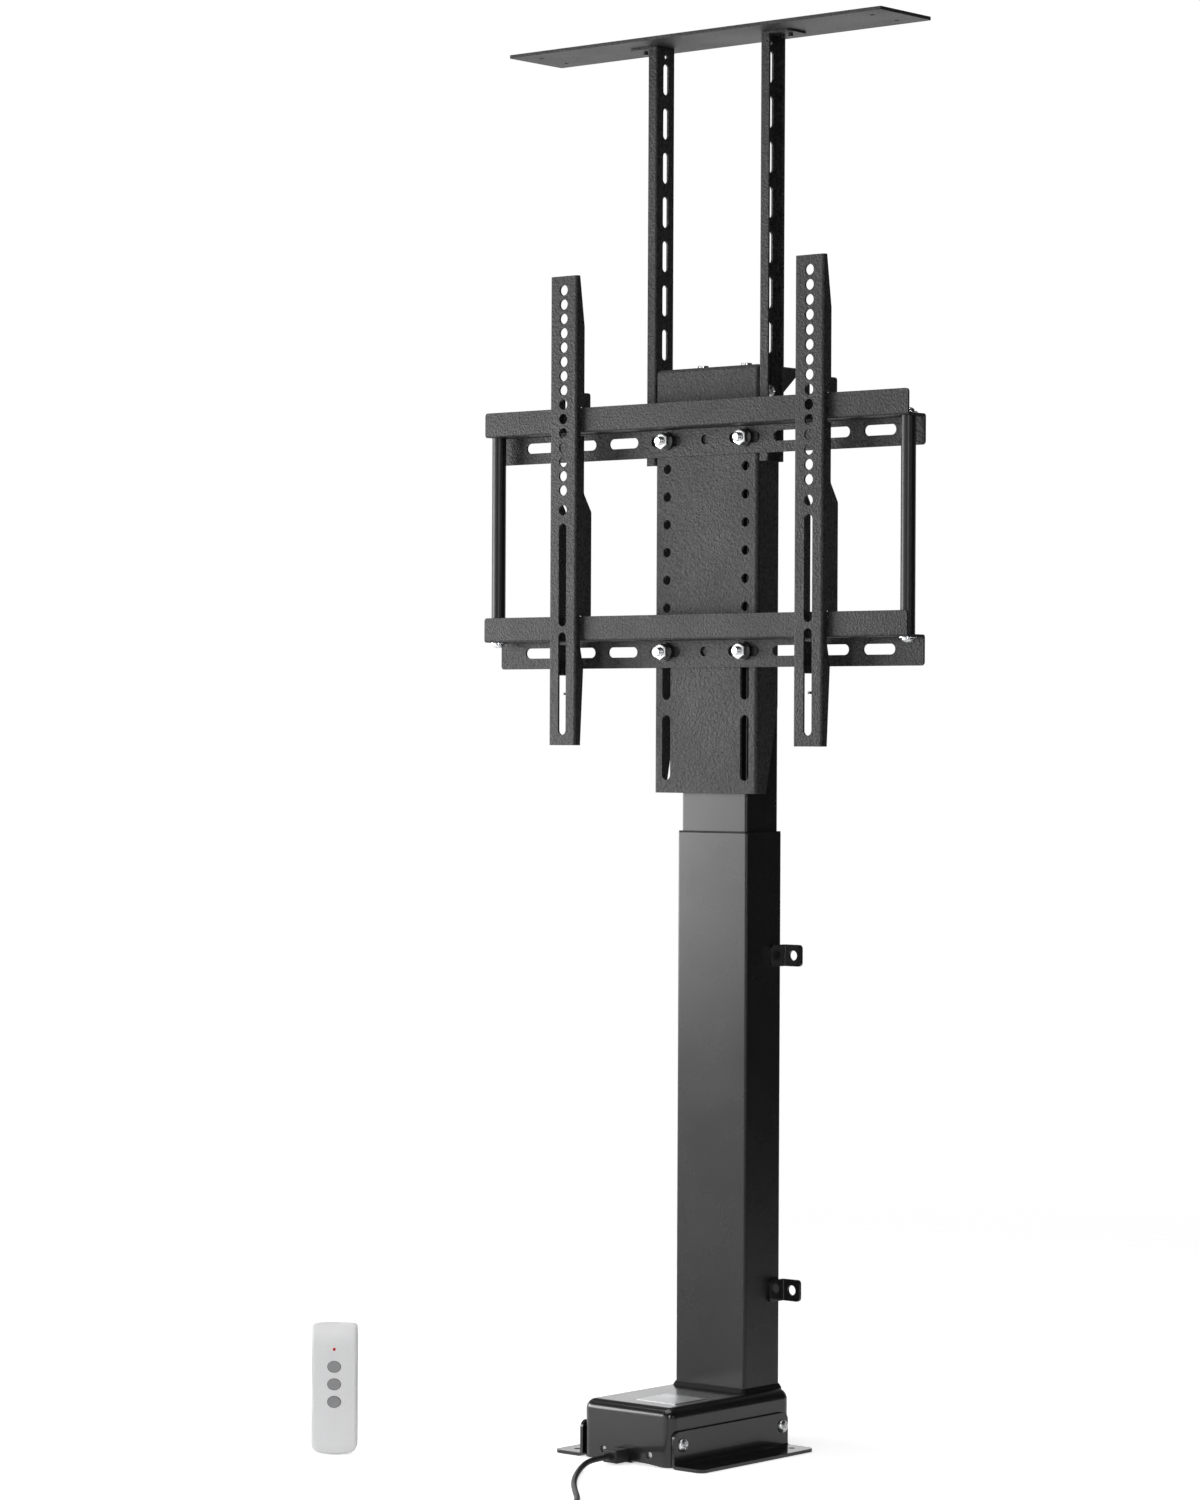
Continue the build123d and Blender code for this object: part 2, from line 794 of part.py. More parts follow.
def make_gearbox_half(z):
    outline = RectangleRounded(2 * gearbox_half_width, gearbox_back - gearbox_front, gearbox_corner)
    half = bar(outline, 0, (gearbox_front + gearbox_back) / 2, z)
    half -= gearbox_room()
    for x, y in corner_places(gearbox_screw_x, gearbox_screw_y):
        top = pan_top + gearbox_screw_length
        half -= rod(gearbox_screw_radius + running_gap, x, y, (pan_top - cut_over, top))
    for x, y in corner_places(column_screw_x, column_screw_y):
        low = column_foot_top - 2 * gearbox_screw_head_height - column_screw_length
        half -= rod(gearbox_screw_radius + running_gap, x, y, (low, gearbox_top + cut_over))
    for x, z_place in motor_screw_places():
        bite = (gearbox_front - cut_over, gearbox_front + motor_screw_bite)
        half -= rod(motor_screw_radius + running_gap, x, bite, z_place)
    return half


def motor_screw_places():
    reach = motor_plate_half - motor_screw_inset
    return [(worm_x + x, worm_z + z) for x, z in corner_places(reach, reach)]


def make_gearbox_screws():
    """Four screws up through the pan, and four that hold the motor."""
    shapes = []
    for x, y in corner_places(gearbox_screw_x, gearbox_screw_y):
        screw = rod(gearbox_screw_head, x, y, (pan_lift - gearbox_screw_head_height, pan_lift))
        screw += rod(gearbox_screw_radius, x, y, (pan_lift, pan_top + gearbox_screw_length))
        shapes.append(screw)
    plate_front_y = gearbox_front - motor_plate
    for x, z in motor_screw_places():
        screw = rod(motor_screw_head, x, (plate_front_y - motor_screw_head_height, plate_front_y), z)
        screw += rod(motor_screw_radius, x, (plate_front_y, gearbox_front + motor_screw_bite), z)
        shapes.append(screw)
    return group(shapes)


def make_spindle_bearings():
    shapes = []
    low = pan_top + pan_sheet
    for z in (low, gearbox_top - bearing_width):
        top = z + bearing_width
        ring = rod(bearing_radius, 0, 0, (z, top))
        ring -= rod(spindle_journal_radius + running_gap, 0, 0, (z - cut_over, top + cut_over))
        shapes.append(ring)
    return group(shapes)


def make_spindle():
    bottom = pan_top + pan_sheet
    spindle = rod(spindle_journal_radius, 0, 0, (bottom, gearbox_top))
    spindle += rod(spindle_radius, 0, 0, (gearbox_top, spindle_top))
    tip = [edge for edge in spindle.edges() if edge.center().Z > spindle_top - running_gap]
    return chamfer(tip, bolt_chamfer)


def make_worm_wheel():
    radius = worm_x - worm_pitch_radius - mesh_gap
    z = (worm_z - wheel_width / 2, worm_z + wheel_width / 2)
    wheel = rod(radius, 0, 0, z)
    wheel -= rod(spindle_journal_radius, 0, 0, (z[0] - cut_over, z[1] + cut_over))
    gap_radius = math.pi * radius / wheel_teeth / 2
    notch = rod(gap_radius, radius, 0, (z[0] - cut_over, z[1] + cut_over))
    notches = [Rot(0, 0, 360 * tooth / wheel_teeth) * notch for tooth in range(wheel_teeth)]
    return wheel - notches


def make_worm_shaft():
    """Motor shaft with the worm on it and the sensor magnet at its tail."""
    radius = worm_pitch_radius - mesh_gap
    tail = gearbox_front - motor_plate - motor_length - motor_shaft_tail
    nose = gearbox_back - 2 * pan_sheet - running_gap
    shaft = rod(worm_shaft_radius, worm_x, (tail, nose), worm_z)
    shaft += rod(radius, worm_x, (-worm_length / 2, worm_length / 2), worm_z)
    rings = int(worm_length / worm_thread_pitch)
    for ring in range(rings):
        y = -worm_length / 2 + worm_thread_pitch / 2 + ring * worm_thread_pitch
        groove = rod(radius + cut_over, worm_x, (y, y + worm_thread_pitch / 2), worm_z)
        core = rod(radius - worm_tooth_depth / 2, worm_x, (y - cut_over, y + worm_thread_pitch), worm_z)
        groove -= core
        shaft -= groove
    shaft += rod(motor_magnet_radius, worm_x, (tail, tail + motor_magnet), worm_z)
    return shaft


def make_drive_motor():
    front = gearbox_front - motor_plate
    back = front - motor_length
    can = rod(motor_radius, worm_x, (back + motor_cap, front), worm_z)
    can += rod(motor_radius - motor_cap_step, worm_x, (back, back + motor_cap), worm_z)
    rim = [edge for edge in can.edges() if abs(edge.center().Y - back) < running_gap]
    can = fillet(rim, motor_edge)
    half = motor_plate_half
    plate = brick((worm_x - half, worm_x + half), (front, gearbox_front), (worm_z - half, worm_z + half))
    can += plate
    through = (back - cut_over, gearbox_front + cut_over)
    can -= rod(worm_shaft_radius + running_gap, worm_x, through, worm_z)
    for x, z in motor_screw_places():
        can -= rod(motor_screw_radius + running_gap, x, (front - cut_over, gearbox_front + cut_over), z)
        can -= rod(motor_screw_head + running_gap, x, (front - 2 * motor_screw_head_height, front), z)
    return can


# Electrics in the housing
def board_part(x_share, y_share, wide, deep, tall):
    """Component that stands on the board, placed by shares of the board's sides."""
    x = board_low_x + x_share * board_wide
    y = board_front + y_share * board_long
    low = pan_top + board_post_height + board_thick
    return brick((x - wide / 2, x + wide / 2), (y - deep / 2, y + deep / 2), (low, low + tall))


def make_control_board():
    low = pan_top + board_post_height
    board = brick(
        (board_low_x, board_low_x + board_wide),
        (board_front, board_front + board_long),
        (low, low + board_thick),
    )
    return board


def make_board_parts():
    shapes = [board_part(relay_x_share, share, *relay_size) for share in relay_y_shares]
    shapes.append(board_part(*transformer_shares, *transformer_size))
    shapes.append(board_part(*terminal_shares, *terminal_size))
    low = pan_top + board_post_height + board_thick
    for x_share, y_share in capacitor_shares:
        x = board_low_x + x_share * board_wide
        y = board_front + y_share * board_long
        shapes.append(rod(capacitor_radius, x, y, (low, low + capacitor_height)))
    return group(shapes)


def make_power_socket():
    half = socket_half_wide()
    low = lead_plug_low - seat_gap - socket_wall
    high = lead_plug_low + lead_plug_tall + seat_gap + socket_wall
    front = housing_inner_front
    socket = brick((socket_x - half, socket_x + half), (front, front + socket_deep), (low, high))
    cavity_x = (socket_x - half + socket_wall, socket_x + half - socket_wall)
    cavity_y = (front - cut_over, front + socket_deep - socket_back_wall)
    return socket - brick(cavity_x, cavity_y, (low + socket_wall, high - socket_wall))


def make_lead_connector():
    """Moulded connector in the socket, with the neck that the cord leaves."""
    x = (socket_x - lead_plug_wide / 2, socket_x + lead_plug_wide / 2)
    out = housing_front - lead_plug_out
    z = (lead_plug_low, lead_plug_low + lead_plug_tall)
    body = brick(x, (out, housing_front + lead_plug_in), z)
    front_edges = [edge for edge in body.edges() if edge.center().Y < out + lead_plug_corner]
    body = fillet(front_edges, lead_plug_corner)
    middle = lead_plug_low + lead_plug_tall / 2
    neck_end = cord_route[0][1]
    neck = Plane(origin=(socket_x, out, middle), z_dir=(0, -1, 0))
    tip = Plane(origin=(socket_x, neck_end, middle), z_dir=(0, -1, 0))
    return body + loft([neck * Circle(exit_neck_radius), tip * Circle(cord_radius + seat_gap)])


# Inner tube and its ends
def make_inner_tube():
    outline = tube_section(inner_width, inner_depth, inner_wall, tube_corner)
    tube = bar(outline, 0, 0, (inner_bottom, inner_top))
    return tube


def inner_room(gap):
    width = inner_width - 2 * inner_wall - 2 * gap
    depth = inner_depth - 2 * inner_wall - 2 * gap
    return RectangleRounded(width, depth, tube_corner - inner_wall)


def make_tube_cap():
    cap = bar(inner_room(seat_gap), 0, 0, (inner_top - tube_cap_height, inner_top))
    hole = (inner_top - cap_screw_length, inner_top + cut_over)
    for x, y in corner_places(cap_screw_x, cap_screw_y):
        cap -= rod(cap_screw_radius + running_gap, x, y, hole)
    return cap


def make_lower_glide():
    """Glide at the foot of the inner tube, which also carries the drive nut."""
    width = outer_width - 2 * outer_wall - 2 * glide_gap
    depth = outer_depth - 2 * outer_wall - 2 * glide_gap
    shoe = RectangleRounded(width, depth, tube_corner - outer_wall)
    glide = bar(shoe, 0, 0, (inner_bottom - glide_flange, inner_bottom))
    glide += bar(inner_room(seat_gap), 0, 0, (inner_bottom, inner_bottom + glide_height - glide_flange))
    bore = (inner_bottom - glide_flange - cut_over, inner_bottom + glide_height)
    return glide - rod(nut_radius + running_gap, 0, 0, bore)


def make_drive_nut():
    low = inner_bottom - glide_flange
    seat = inner_bottom + glide_height - glide_flange
    nut = rod(nut_radius, 0, 0, (low, low + nut_length))
    nut += rod(nut_flange_radius, 0, 0, (seat, seat + nut_flange))
    return nut - rod(spindle_radius + running_gap, 0, 0, (low - cut_over, low + nut_length + cut_over))


# Carriage bracket
def make_carriage_bracket():
    half = bracket_half_width
    low = bracket_bottom
    high = bracket_top
    body = brick((-half, half), (bracket_front, gusset_back), (low, high))
    front_corners = edges_along(body, Axis.Z, lambda c: c.Y < bracket_front + cut_over)
    body = fillet(front_corners, bracket_bend)
    top_edges = [
        edge for edge in body.faces().sort_by(Axis.Z)[-1].edges()
        if edge.center().Y < gusset_back - cut_over
    ]
    body = fillet(top_edges, bracket_bend - running_gap)
    inner_half = half - bracket_sheet
    room_z = (low - cut_over, high - bracket_sheet)
    room = brick((-inner_half, inner_half), (bracket_front + bracket_sheet, gusset_back + cut_over), room_z)
    room = fillet(edges_along(room, Axis.Z, lambda c: c.Y < 0), bracket_inner_bend)
    body -= room
    side = shape_of([
        (bracket_front - cut_over, low), (wing_foot_back, low), (wing_back, low + wing_taper_height),
        (wing_back, high - gusset_low), (gusset_back, high - gusset_high), (gusset_back, high + cut_over),
        (bracket_front - cut_over, high + cut_over),
    ])
    body &= bar(side, (-half - cut_over, half + cut_over), 0, 0)
    front = (bracket_front - cut_over, bracket_front + bracket_sheet + cut_over)
    for x in (-hole_column_x, hole_column_x):
        for hole in range(hole_count):
            body -= rod(hole_radius, x, front, upper_bolt_z - hole * hole_pitch)
        slot_top = lower_bolt_z + slot_upper_rise
        for length in (slot_upper_length, slot_lower_length):
            body -= bar(upright_slot(length, slot_width), x, front, slot_top - length / 2)
            slot_top -= length + slot_spacing
    for x, y in corner_places(cap_screw_x, cap_screw_y):
        body -= rod(cap_screw_radius + seat_gap, x, y, (inner_top - cut_over, high + cut_over))
    wall = (-half - cut_over, half + cut_over)
    for z in strut_bolt_heights():
        body -= rod(strut_bolt_radius + seat_gap, wall, strut_middle, z)
    return body


def make_cap_screws():
    shapes = []
    for x, y in corner_places(cap_screw_x, cap_screw_y):
        head = rod(cap_screw_head, x, y, (bracket_top, bracket_top + cap_screw_head_height))
        rim = [edge for edge in head.edges() if edge.center().Z > bracket_top + cap_screw_head_height / 2]
        head = fillet(rim, bolt_chamfer)
        socket_z = (bracket_top + cap_screw_head_height / 2, bracket_top + cap_screw_head_height + cut_over)
        head -= nut_shape(cap_screw_key, x, y, socket_z)
        head += rod(cap_screw_radius, x, y, (bracket_top - cap_screw_length, bracket_top))
        shapes.append(head)
    return group(shapes)


# Rails and what holds them
def rail_levels(bolt_z):
    """Heights of a rail: underside and top of its web, top of its lip, foot of its flange."""
    web_top = bolt_z + rail_bolt_drop
    web_low = web_top - rail_sheet
    return web_low, web_top, web_low + rail_lip, web_top - rail_flange


def make_rail(bolt_z):
    web_low, web_top, lip_top, flange_low = rail_levels(bolt_z)
    front = rail_lip_front
    back = rail_back
    outline = shape_of([
        (front, lip_top), (front + rail_sheet, lip_top), (front + rail_sheet, web_top), (back, web_top),
        (back, flange_low), (back - rail_sheet, flange_low), (back - rail_sheet, web_low), (front, web_low),
    ])
    outline = rounded(outline, rail_bend, [(front, web_low), (back, web_top)])
    inner_corners = [(front + rail_sheet, web_top), (back - rail_sheet, web_low)]
    outline = rounded(outline, rail_inner_bend, inner_corners)
    rail = bar(outline, (-rail_half_length, rail_half_length), 0, 0)
    ends = edges_along(rail, Axis.Y, lambda c: c.Z > lip_top - cut_over or c.Z < flange_low + cut_over)
    rail = fillet(ends, rail_corner)
    through = (back - rail_sheet - cut_over, back + cut_over)
    for side in (-1, 1):
        for step in range(rail_slot_count):
            x = side * (hole_column_x + step * rail_slot_pitch)
            rail -= bar(SlotOverall(rail_slot_length, rail_slot_width), x, through, bolt_z)
        post_hole = (web_low - cut_over, web_top + cut_over)
        rail -= rod(post_screw_radius + seat_gap, side * post_x(), post_y(), post_hole)
    return rail - rod(rail_centre_radius, 0, through, bolt_z)


def post_x():
    return rail_half_length - post_inset


def post_y():
    return rail_lip_front + post_back_share * rail_depth


def make_post(side):
    low = rail_levels(lower_bolt_z)[1]
    high = rail_levels(upper_bolt_z)[0]
    post = rod(post_radius, side * post_x(), post_y(), (low, high))
    for z in ((low - cut_over, low + post_screw_bite), (high - post_screw_bite, high + cut_over)):
        post -= rod(post_screw_radius + running_gap, side * post_x(), post_y(), z)
    return post


def make_post_screws():
    shapes = []
    under = rail_levels(lower_bolt_z)[0]
    over = rail_levels(upper_bolt_z)[1]
    for side in (-1, 1):
        x = side * post_x()
        y = post_y()
        for face, out in ((under, -1), (over, 1)):
            rim = tuple(sorted((face, face + out * post_screw_rim)))
            head = tuple(sorted((face, face + out * post_screw_height)))
            shank = tuple(sorted((face, face - out * (rail_sheet + post_screw_bite - running_gap))))
            screw = rod(post_screw_flange, x, y, rim)
            dome = rod(post_screw_head, x, y, head)
            crown = [edge for edge in dome.edges() if abs(edge.center().Z - face) > post_screw_height / 2]
            screw += fillet(crown, post_screw_height / 2)
            screw += rod(post_screw_radius, x, y, shank)
            shapes.append(screw)
    return group(shapes)


def bolt_places():
    return [(x, z) for x in (-hole_column_x, hole_column_x) for z in (upper_bolt_z, lower_bolt_z)]


def make_rail_bolts():
    shapes = []
    head_face = bracket_front + bracket_sheet
    tip = rail_back - rail_sheet - bolt_out
    for x, z in bolt_places():
        head = rod(bolt_head_radius, x, (head_face, head_face + bolt_head_height), z)
        crown = [edge for edge in head.edges() if edge.center().Y > head_face + bolt_head_height / 2]
        bolt = fillet(crown, bolt_head_height * head_crown_share)
        shank = rod(bolt_radius, x, (tip, head_face), z)
        end = [edge for edge in shank.edges() if edge.center().Y < tip + running_gap]
        bolt += chamfer(end, bolt_chamfer)
        shapes.append(bolt)
    return group(shapes)


def make_rail_nuts():
    """Washer and nut on each rail bolt."""
    shapes = []
    face = rail_back - rail_sheet
    hole = (face - washer_thick - nut_height - cut_over, face + cut_over)
    for x, z in bolt_places():
        stack = rod(washer_radius, x, (face - washer_thick, face), z)
        stack += nut_shape(nut_width, x, (face - washer_thick - nut_height, face - washer_thick), z)
        shapes.append(stack - rod(bolt_radius + running_gap, x, hole, z))
    return group(shapes)


# Lid, its struts and their bolts
def strut_bolt_heights():
    return (strut_bolt_z, strut_bolt_z - strut_slot_pitch)


def make_right_strut():
    inner = strut_inner
    outer = strut_inner + strut_wide
    back_outer = strut_inner + strut_back_wide
    low = strut_top - strut_length
    outline = shape_of([
        (inner, strut_front), (outer, strut_front), (outer, strut_front + strut_sheet),
        (inner + strut_sheet, strut_front + strut_sheet), (inner + strut_sheet, strut_back - strut_sheet),
        (back_outer, strut_back - strut_sheet), (back_outer, strut_back), (inner, strut_back),
    ])
    outline = rounded(outline, strut_bend, [(inner, strut_front), (inner, strut_back)])
    strut = bar(outline, 0, 0, (low, strut_top))
    tab = brick((inner, inner + strut_tab), (strut_front, strut_back), (strut_top - strut_sheet, strut_top))
    tab = fillet(edges_along(tab, Axis.Z, lambda c: c.X > outer), strut_tab_corner)
    tab = fillet(edges_along(tab, Axis.Z, lambda c: c.X < outer), strut_bend)
    strut += tab
    web = (inner - cut_over, inner + strut_sheet + cut_over)
    for slot in range(strut_slot_count):
        z = strut_top - strut_slot_drop - strut_slot_length / 2 - slot * strut_slot_pitch
        strut -= bar(upright_slot(strut_slot_length, strut_slot_width), web, strut_middle, z)
    strut -= rod(strut_hole_radius, web, strut_middle, strut_top - strut_hole_drop)
    for x in lid_screw_places():
        hole = (strut_top - strut_sheet - cut_over, strut_top + cut_over)
        strut -= rod(lid_screw_radius + seat_gap, x, strut_middle, hole)
    return strut


def lid_screw_places():
    tip = strut_inner + strut_tab
    return (tip - lid_screw_inset, tip - 2 * lid_screw_inset)


def make_strut_bolts():
    shapes = []
    face = strut_inner + strut_sheet + slide_gap
    wing = bracket_half_width - bracket_sheet
    for z in strut_bolt_heights():
        bolt = domed_head(strut_bolt_head, strut_bolt_head_height, face, strut_middle, z, 1)
        bolt += rod(strut_bolt_radius, (wing - strut_nut_height, face), strut_middle, z)
        bolt += nut_shape(strut_nut_width, (wing - strut_nut_height, wing), strut_middle, z)
        shapes += [bolt, mirrored(bolt)]
    return group(shapes)


def make_lid_plate():
    z = (strut_top, strut_top + lid_thick)
    middle = lid_front + lid_depth / 2
    plate = bar(RectangleRounded(2 * lid_half_width, lid_depth, lid_corner), 0, middle, z)
    for x, y in corner_places(lid_hole_x, lid_hole_spacing / 2):
        plate -= rod(lid_hole_radius, x, lid_hole_y + y, (z[0] - cut_over, z[1] + cut_over))
    for place in lid_screw_places():
        for x in (-place, place):
            plate -= lid_screw(x, seat_gap)
    return plate


def lid_screw(x, gap):
    """Countersunk screw, flush with the lid, or the hole that it goes through."""
    top = strut_top + lid_thick
    head = Cone(lid_screw_radius + gap, lid_screw_head + gap, lid_screw_head_height)
    screw = Pos(x, strut_middle, top - lid_screw_head_height / 2) * head
    low = strut_top - (strut_sheet + lid_thick)
    return screw + rod(lid_screw_radius + gap, x, strut_middle, (low, top - lid_screw_head_height))


def make_lid_screws():
    places = lid_screw_places()
    return group([lid_screw(side * place, 0) for place in places for side in (-1, 1)])


# Mounting arms
def arm_side_outline():
    """Side view of an arm: tapered flanges, and hooks over the lips of both rails."""
    front = arm_front
    top = arm_top
    slot_front = rail_lip_front - hook_play
    slot_back = rail_lip_front + rail_sheet + hook_play
    points = [(front, top), (front + arm_top_depth, top), (front + arm_mid_depth, top - arm_mid_drop)]
    web_low, web_top, lip_top, flange_low = rail_levels(upper_bolt_z)
    hook_back = front + hook_depth
    points += [
        (front + arm_mid_depth, lip_top + hook_high), (hook_back, lip_top + hook_high),
        (hook_back, lip_top - hook_grip), (slot_back, lip_top - hook_grip),
        (slot_back, lip_top + hook_seat), (slot_front, lip_top + hook_seat),
        (slot_front, web_low - hook_clear), (front + arm_mid_depth, web_low - hook_clear),
    ]
    web_low, web_top, lip_top, flange_low = rail_levels(lower_bolt_z)
    deep_back = front + arm_deep_depth
    deep_start = upper_bolt_z - arm_deep_start_drop
    deep_full = upper_bolt_z - arm_deep_drop
    points += [
        (front + arm_mid_depth, deep_start), (deep_back, deep_full),
        (deep_back, lip_top - hook_grip), (slot_back, lip_top - hook_grip),
        (slot_back, lip_top + hook_seat), (slot_front, lip_top + hook_seat),
        (slot_front, web_low - hook_clear), (front + arm_low_depth, lower_bolt_z - arm_low_drop),
        (front + arm_foot_depth, arm_bottom), (front, arm_bottom),
    ]
    outline = shape_of(points)
    upper_lip = rail_levels(upper_bolt_z)[2]
    corners = [(hook_back, upper_lip + hook_high), (hook_back, upper_lip - hook_grip)]
    outline = rounded(outline, hook_corner, corners)
    smooth = [(front + arm_mid_depth, deep_start), (deep_back, deep_full)]
    return rounded(outline, 2 * hook_corner, smooth)


def make_arm(x):
    half = arm_face / 2
    back = arm_front + arm_deep_depth
    outline = shape_of([(-half, arm_front), (half, arm_front), (half, back), (-half, back)])
    outline = rounded(outline, arm_bend, [(-half, arm_front), (half, arm_front)])
    arm = bar(outline, 0, 0, (arm_bottom, arm_top))
    inner = half - arm_sheet
    room_outline = shape_of([
        (-inner, arm_front + arm_sheet), (inner, arm_front + arm_sheet),
        (inner, back + cut_over), (-inner, back + cut_over),
    ])
    room_corners = [(-inner, arm_front + arm_sheet), (inner, arm_front + arm_sheet)]
    room_outline = rounded(room_outline, arm_bend - arm_sheet, room_corners)
    arm -= bar(room_outline, 0, 0, (arm_bottom - cut_over, arm_top + cut_over))
    arm &= bar(arm_side_outline(), (-half - cut_over, half + cut_over), 0, 0)
    ends = edges_along(
        arm, Axis.Y,
        lambda c: c.Y < arm_front + arm_sheet and abs(c.X) > half - arm_bend - cut_over,
    )
    if ends:
        arm = fillet(ends, arm_corner)
    tongue_y = (arm_front + 2 * arm_sheet, arm_front + lock_tongue_depth)
    tongue_z = (lock_tab_z, rail_levels(lower_bolt_z)[0] - hook_clear)
    tongue = brick((-half, -inner), tongue_y, tongue_z)
    upper_back = edges_along(tongue, Axis.X, lambda c: c.Y > tongue_y[0] + cut_over and c.Z > tongue_z[1] - cut_over)
    arm += fillet(upper_back, hook_corner)
    front = (arm_front - cut_over, arm_front + arm_sheet + cut_over)
    for z in arm_hole_heights():
        arm -= rod(arm_hole_radius, 0, front, z)
    upper_slot_z = arm_top - arm_slot_upper_drop - arm_slot_upper_length / 2
    lower_slot_z = arm_bottom + arm_slot_lower_inset + arm_slot_lower_length / 2
    for z, length in ((upper_slot_z, arm_slot_upper_length), (lower_slot_z, arm_slot_lower_length)):
        arm -= bar(upright_slot(length, arm_slot_width), 0, front, z)
    tab_y = (arm_front + 2 * arm_sheet, arm_front + 2 * arm_sheet + lock_tab_depth)
    tab_x = (-half + arm_sheet / 2, -half + lock_tab_wide)
    arm += brick(tab_x, tab_y, (lock_tab_z, lock_tab_z + arm_sheet))
    hole = (lock_tab_z - cut_over, lock_tab_z + arm_sheet + cut_over)
    arm -= rod(lock_screw_radius + running_gap, -lock_screw_x, lock_screw_y, hole)
    return Pos(x, 0, 0) * arm


def arm_hole_heights():
    first = arm_top - arm_hole_drop
    heights = [first - hole * arm_hole_pitch for hole in range(arm_hole_count)]
    return heights + [heights[-1] - arm_odd_step]


def make_lock_screw(x):
    """Screw through the arm's tab, up against the underside of the lower rail."""
    tip = rail_levels(lower_bolt_z)[0] - slide_gap
    low = lock_tab_z - lock_screw_tail
    place = x - lock_screw_x
    screw = rod(lock_screw_radius, place, lock_screw_y, (low, tip))
    return screw + rod(lock_screw_head, place, lock_screw_y, (low - lock_screw_head_height, low))


# Lead
def path_radii(points):
    """Radius of each bend: a share of the shorter run over the tangent of half the turn."""
    radii = []
    for before, point, after in zip(points, points[1:], points[2:]):
        run_in = Vector(*point) - Vector(*before)
        run_out = Vector(*after) - Vector(*point)
        half_turn = math.radians(run_in.get_angle(run_out)) / 2
        radii.append(arc_share * min(run_in.length, run_out.length) / math.tan(half_turn))
    return radii


def make_cord_run(points, name):
    radii = path_radii(points)
    path = FilletPolyline(*points, radius=radii)
    start = Plane(origin=path @ 0, z_dir=path % 0)
    tube = sweep(start * Circle(cord_radius), path=path)
    expected = math.pi * cord_radius**2 * path.length
    print(name, "length", round(path.length, 1), "volume over section times length",
          round(tube.volume / expected, 4), "radii", [round(radius, 1) for radius in radii])
    return tube, path.length


def coil_path():
    """Half turns that wind inward on the floor, climb one layer and wind out again."""
    point = Vector(*cord_route[-1])
    heading = Vector(0, -1, 0)
    edges = [Line(point, point + heading * coil_end_run)]
    point = point + heading * coil_end_run
    radius = coil_radius
    steps = [(-coil_pitch / 2, 0)] * coil_inward_halves
    steps += [(coil_pitch / 2, coil_pitch)] + [(coil_pitch / 2, 0)] * coil_outward_halves
    side = 1
    for grow, climb in steps:
        across = Vector(side * 2 * radius, 0, climb)
        reach = across.length / 2
        middle = point + across / 2 + heading * reach
        edges.append(TangentArc(point, middle, tangent=heading))
        end = point + across
        edges.append(TangentArc(middle, end, tangent=across.normalized()))
        point = end
        heading = heading * -1
        side = -side
        radius += grow
    edges.append(Line(point, point + heading * coil_end_run))
    return edges, point + heading * coil_end_run


def least_self_gap(path, turns):
    """Least gap between turns, on points along the path, leaving out near neighbours."""
    count = gap_samples_a_turn_count * turns
    points = [path @ (step / count) for step in range(count + 1)]
    spacing = path.length / count
    skip = int(math.pi * coil_radius / 2 / spacing)
    least = path.length
    for first in range(count + 1):
        for second in range(first + skip, count + 1):
            least = min(least, (points[first] - points[second]).length)
    return least - 2 * cord_radius


def make_lead_coil():
    edges, end = coil_path()
    path = Wire([edge for piece in edges for edge in piece.edges()])
    start = Plane(origin=path @ 0, z_dir=path % 0)
    tube = sweep(start * Circle(cord_radius), path=path)
    turns = (coil_inward_halves + 1 + coil_outward_halves) // 2
    expected = math.pi * cord_radius**2 * path.length
    print("lead_coil length", round(path.length, 1), "volume over section times length",
          round(tube.volume / expected, 4), "least gap", round(least_self_gap(path, turns), 2))
    return tube, path.length, end


def make_coil_tie(centre):
    """Flat strap round both layers of the coil, on the side away from its ends."""
    reach = coil_radius + coil_pitch
    inner_radius = coil_radius - coil_inward_halves * coil_pitch / 2 - coil_pitch
    x = (centre[0] + inner_radius - cord_radius, centre[0] + reach)
    z = (centre[2] - cord_radius - tie_gap, centre[2] + coil_pitch + cord_radius + tie_gap)
    y = (centre[1] - tie_width / 2, centre[1] + tie_width / 2)
    outer_x = (x[0] - tie_thick, x[1] + tie_thick)
    outer_z = (z[0] - tie_thick, z[1] + tie_thick)
    strap = brick(outer_x, y, outer_z)
    strap = fillet(strap.edges().filter_by(Axis.Y), 2 * tie_thick)
    room = brick(x, (y[0] - cut_over, y[1] + cut_over), z)
    return strap - fillet(room.edges().filter_by(Axis.Y), tie_thick)


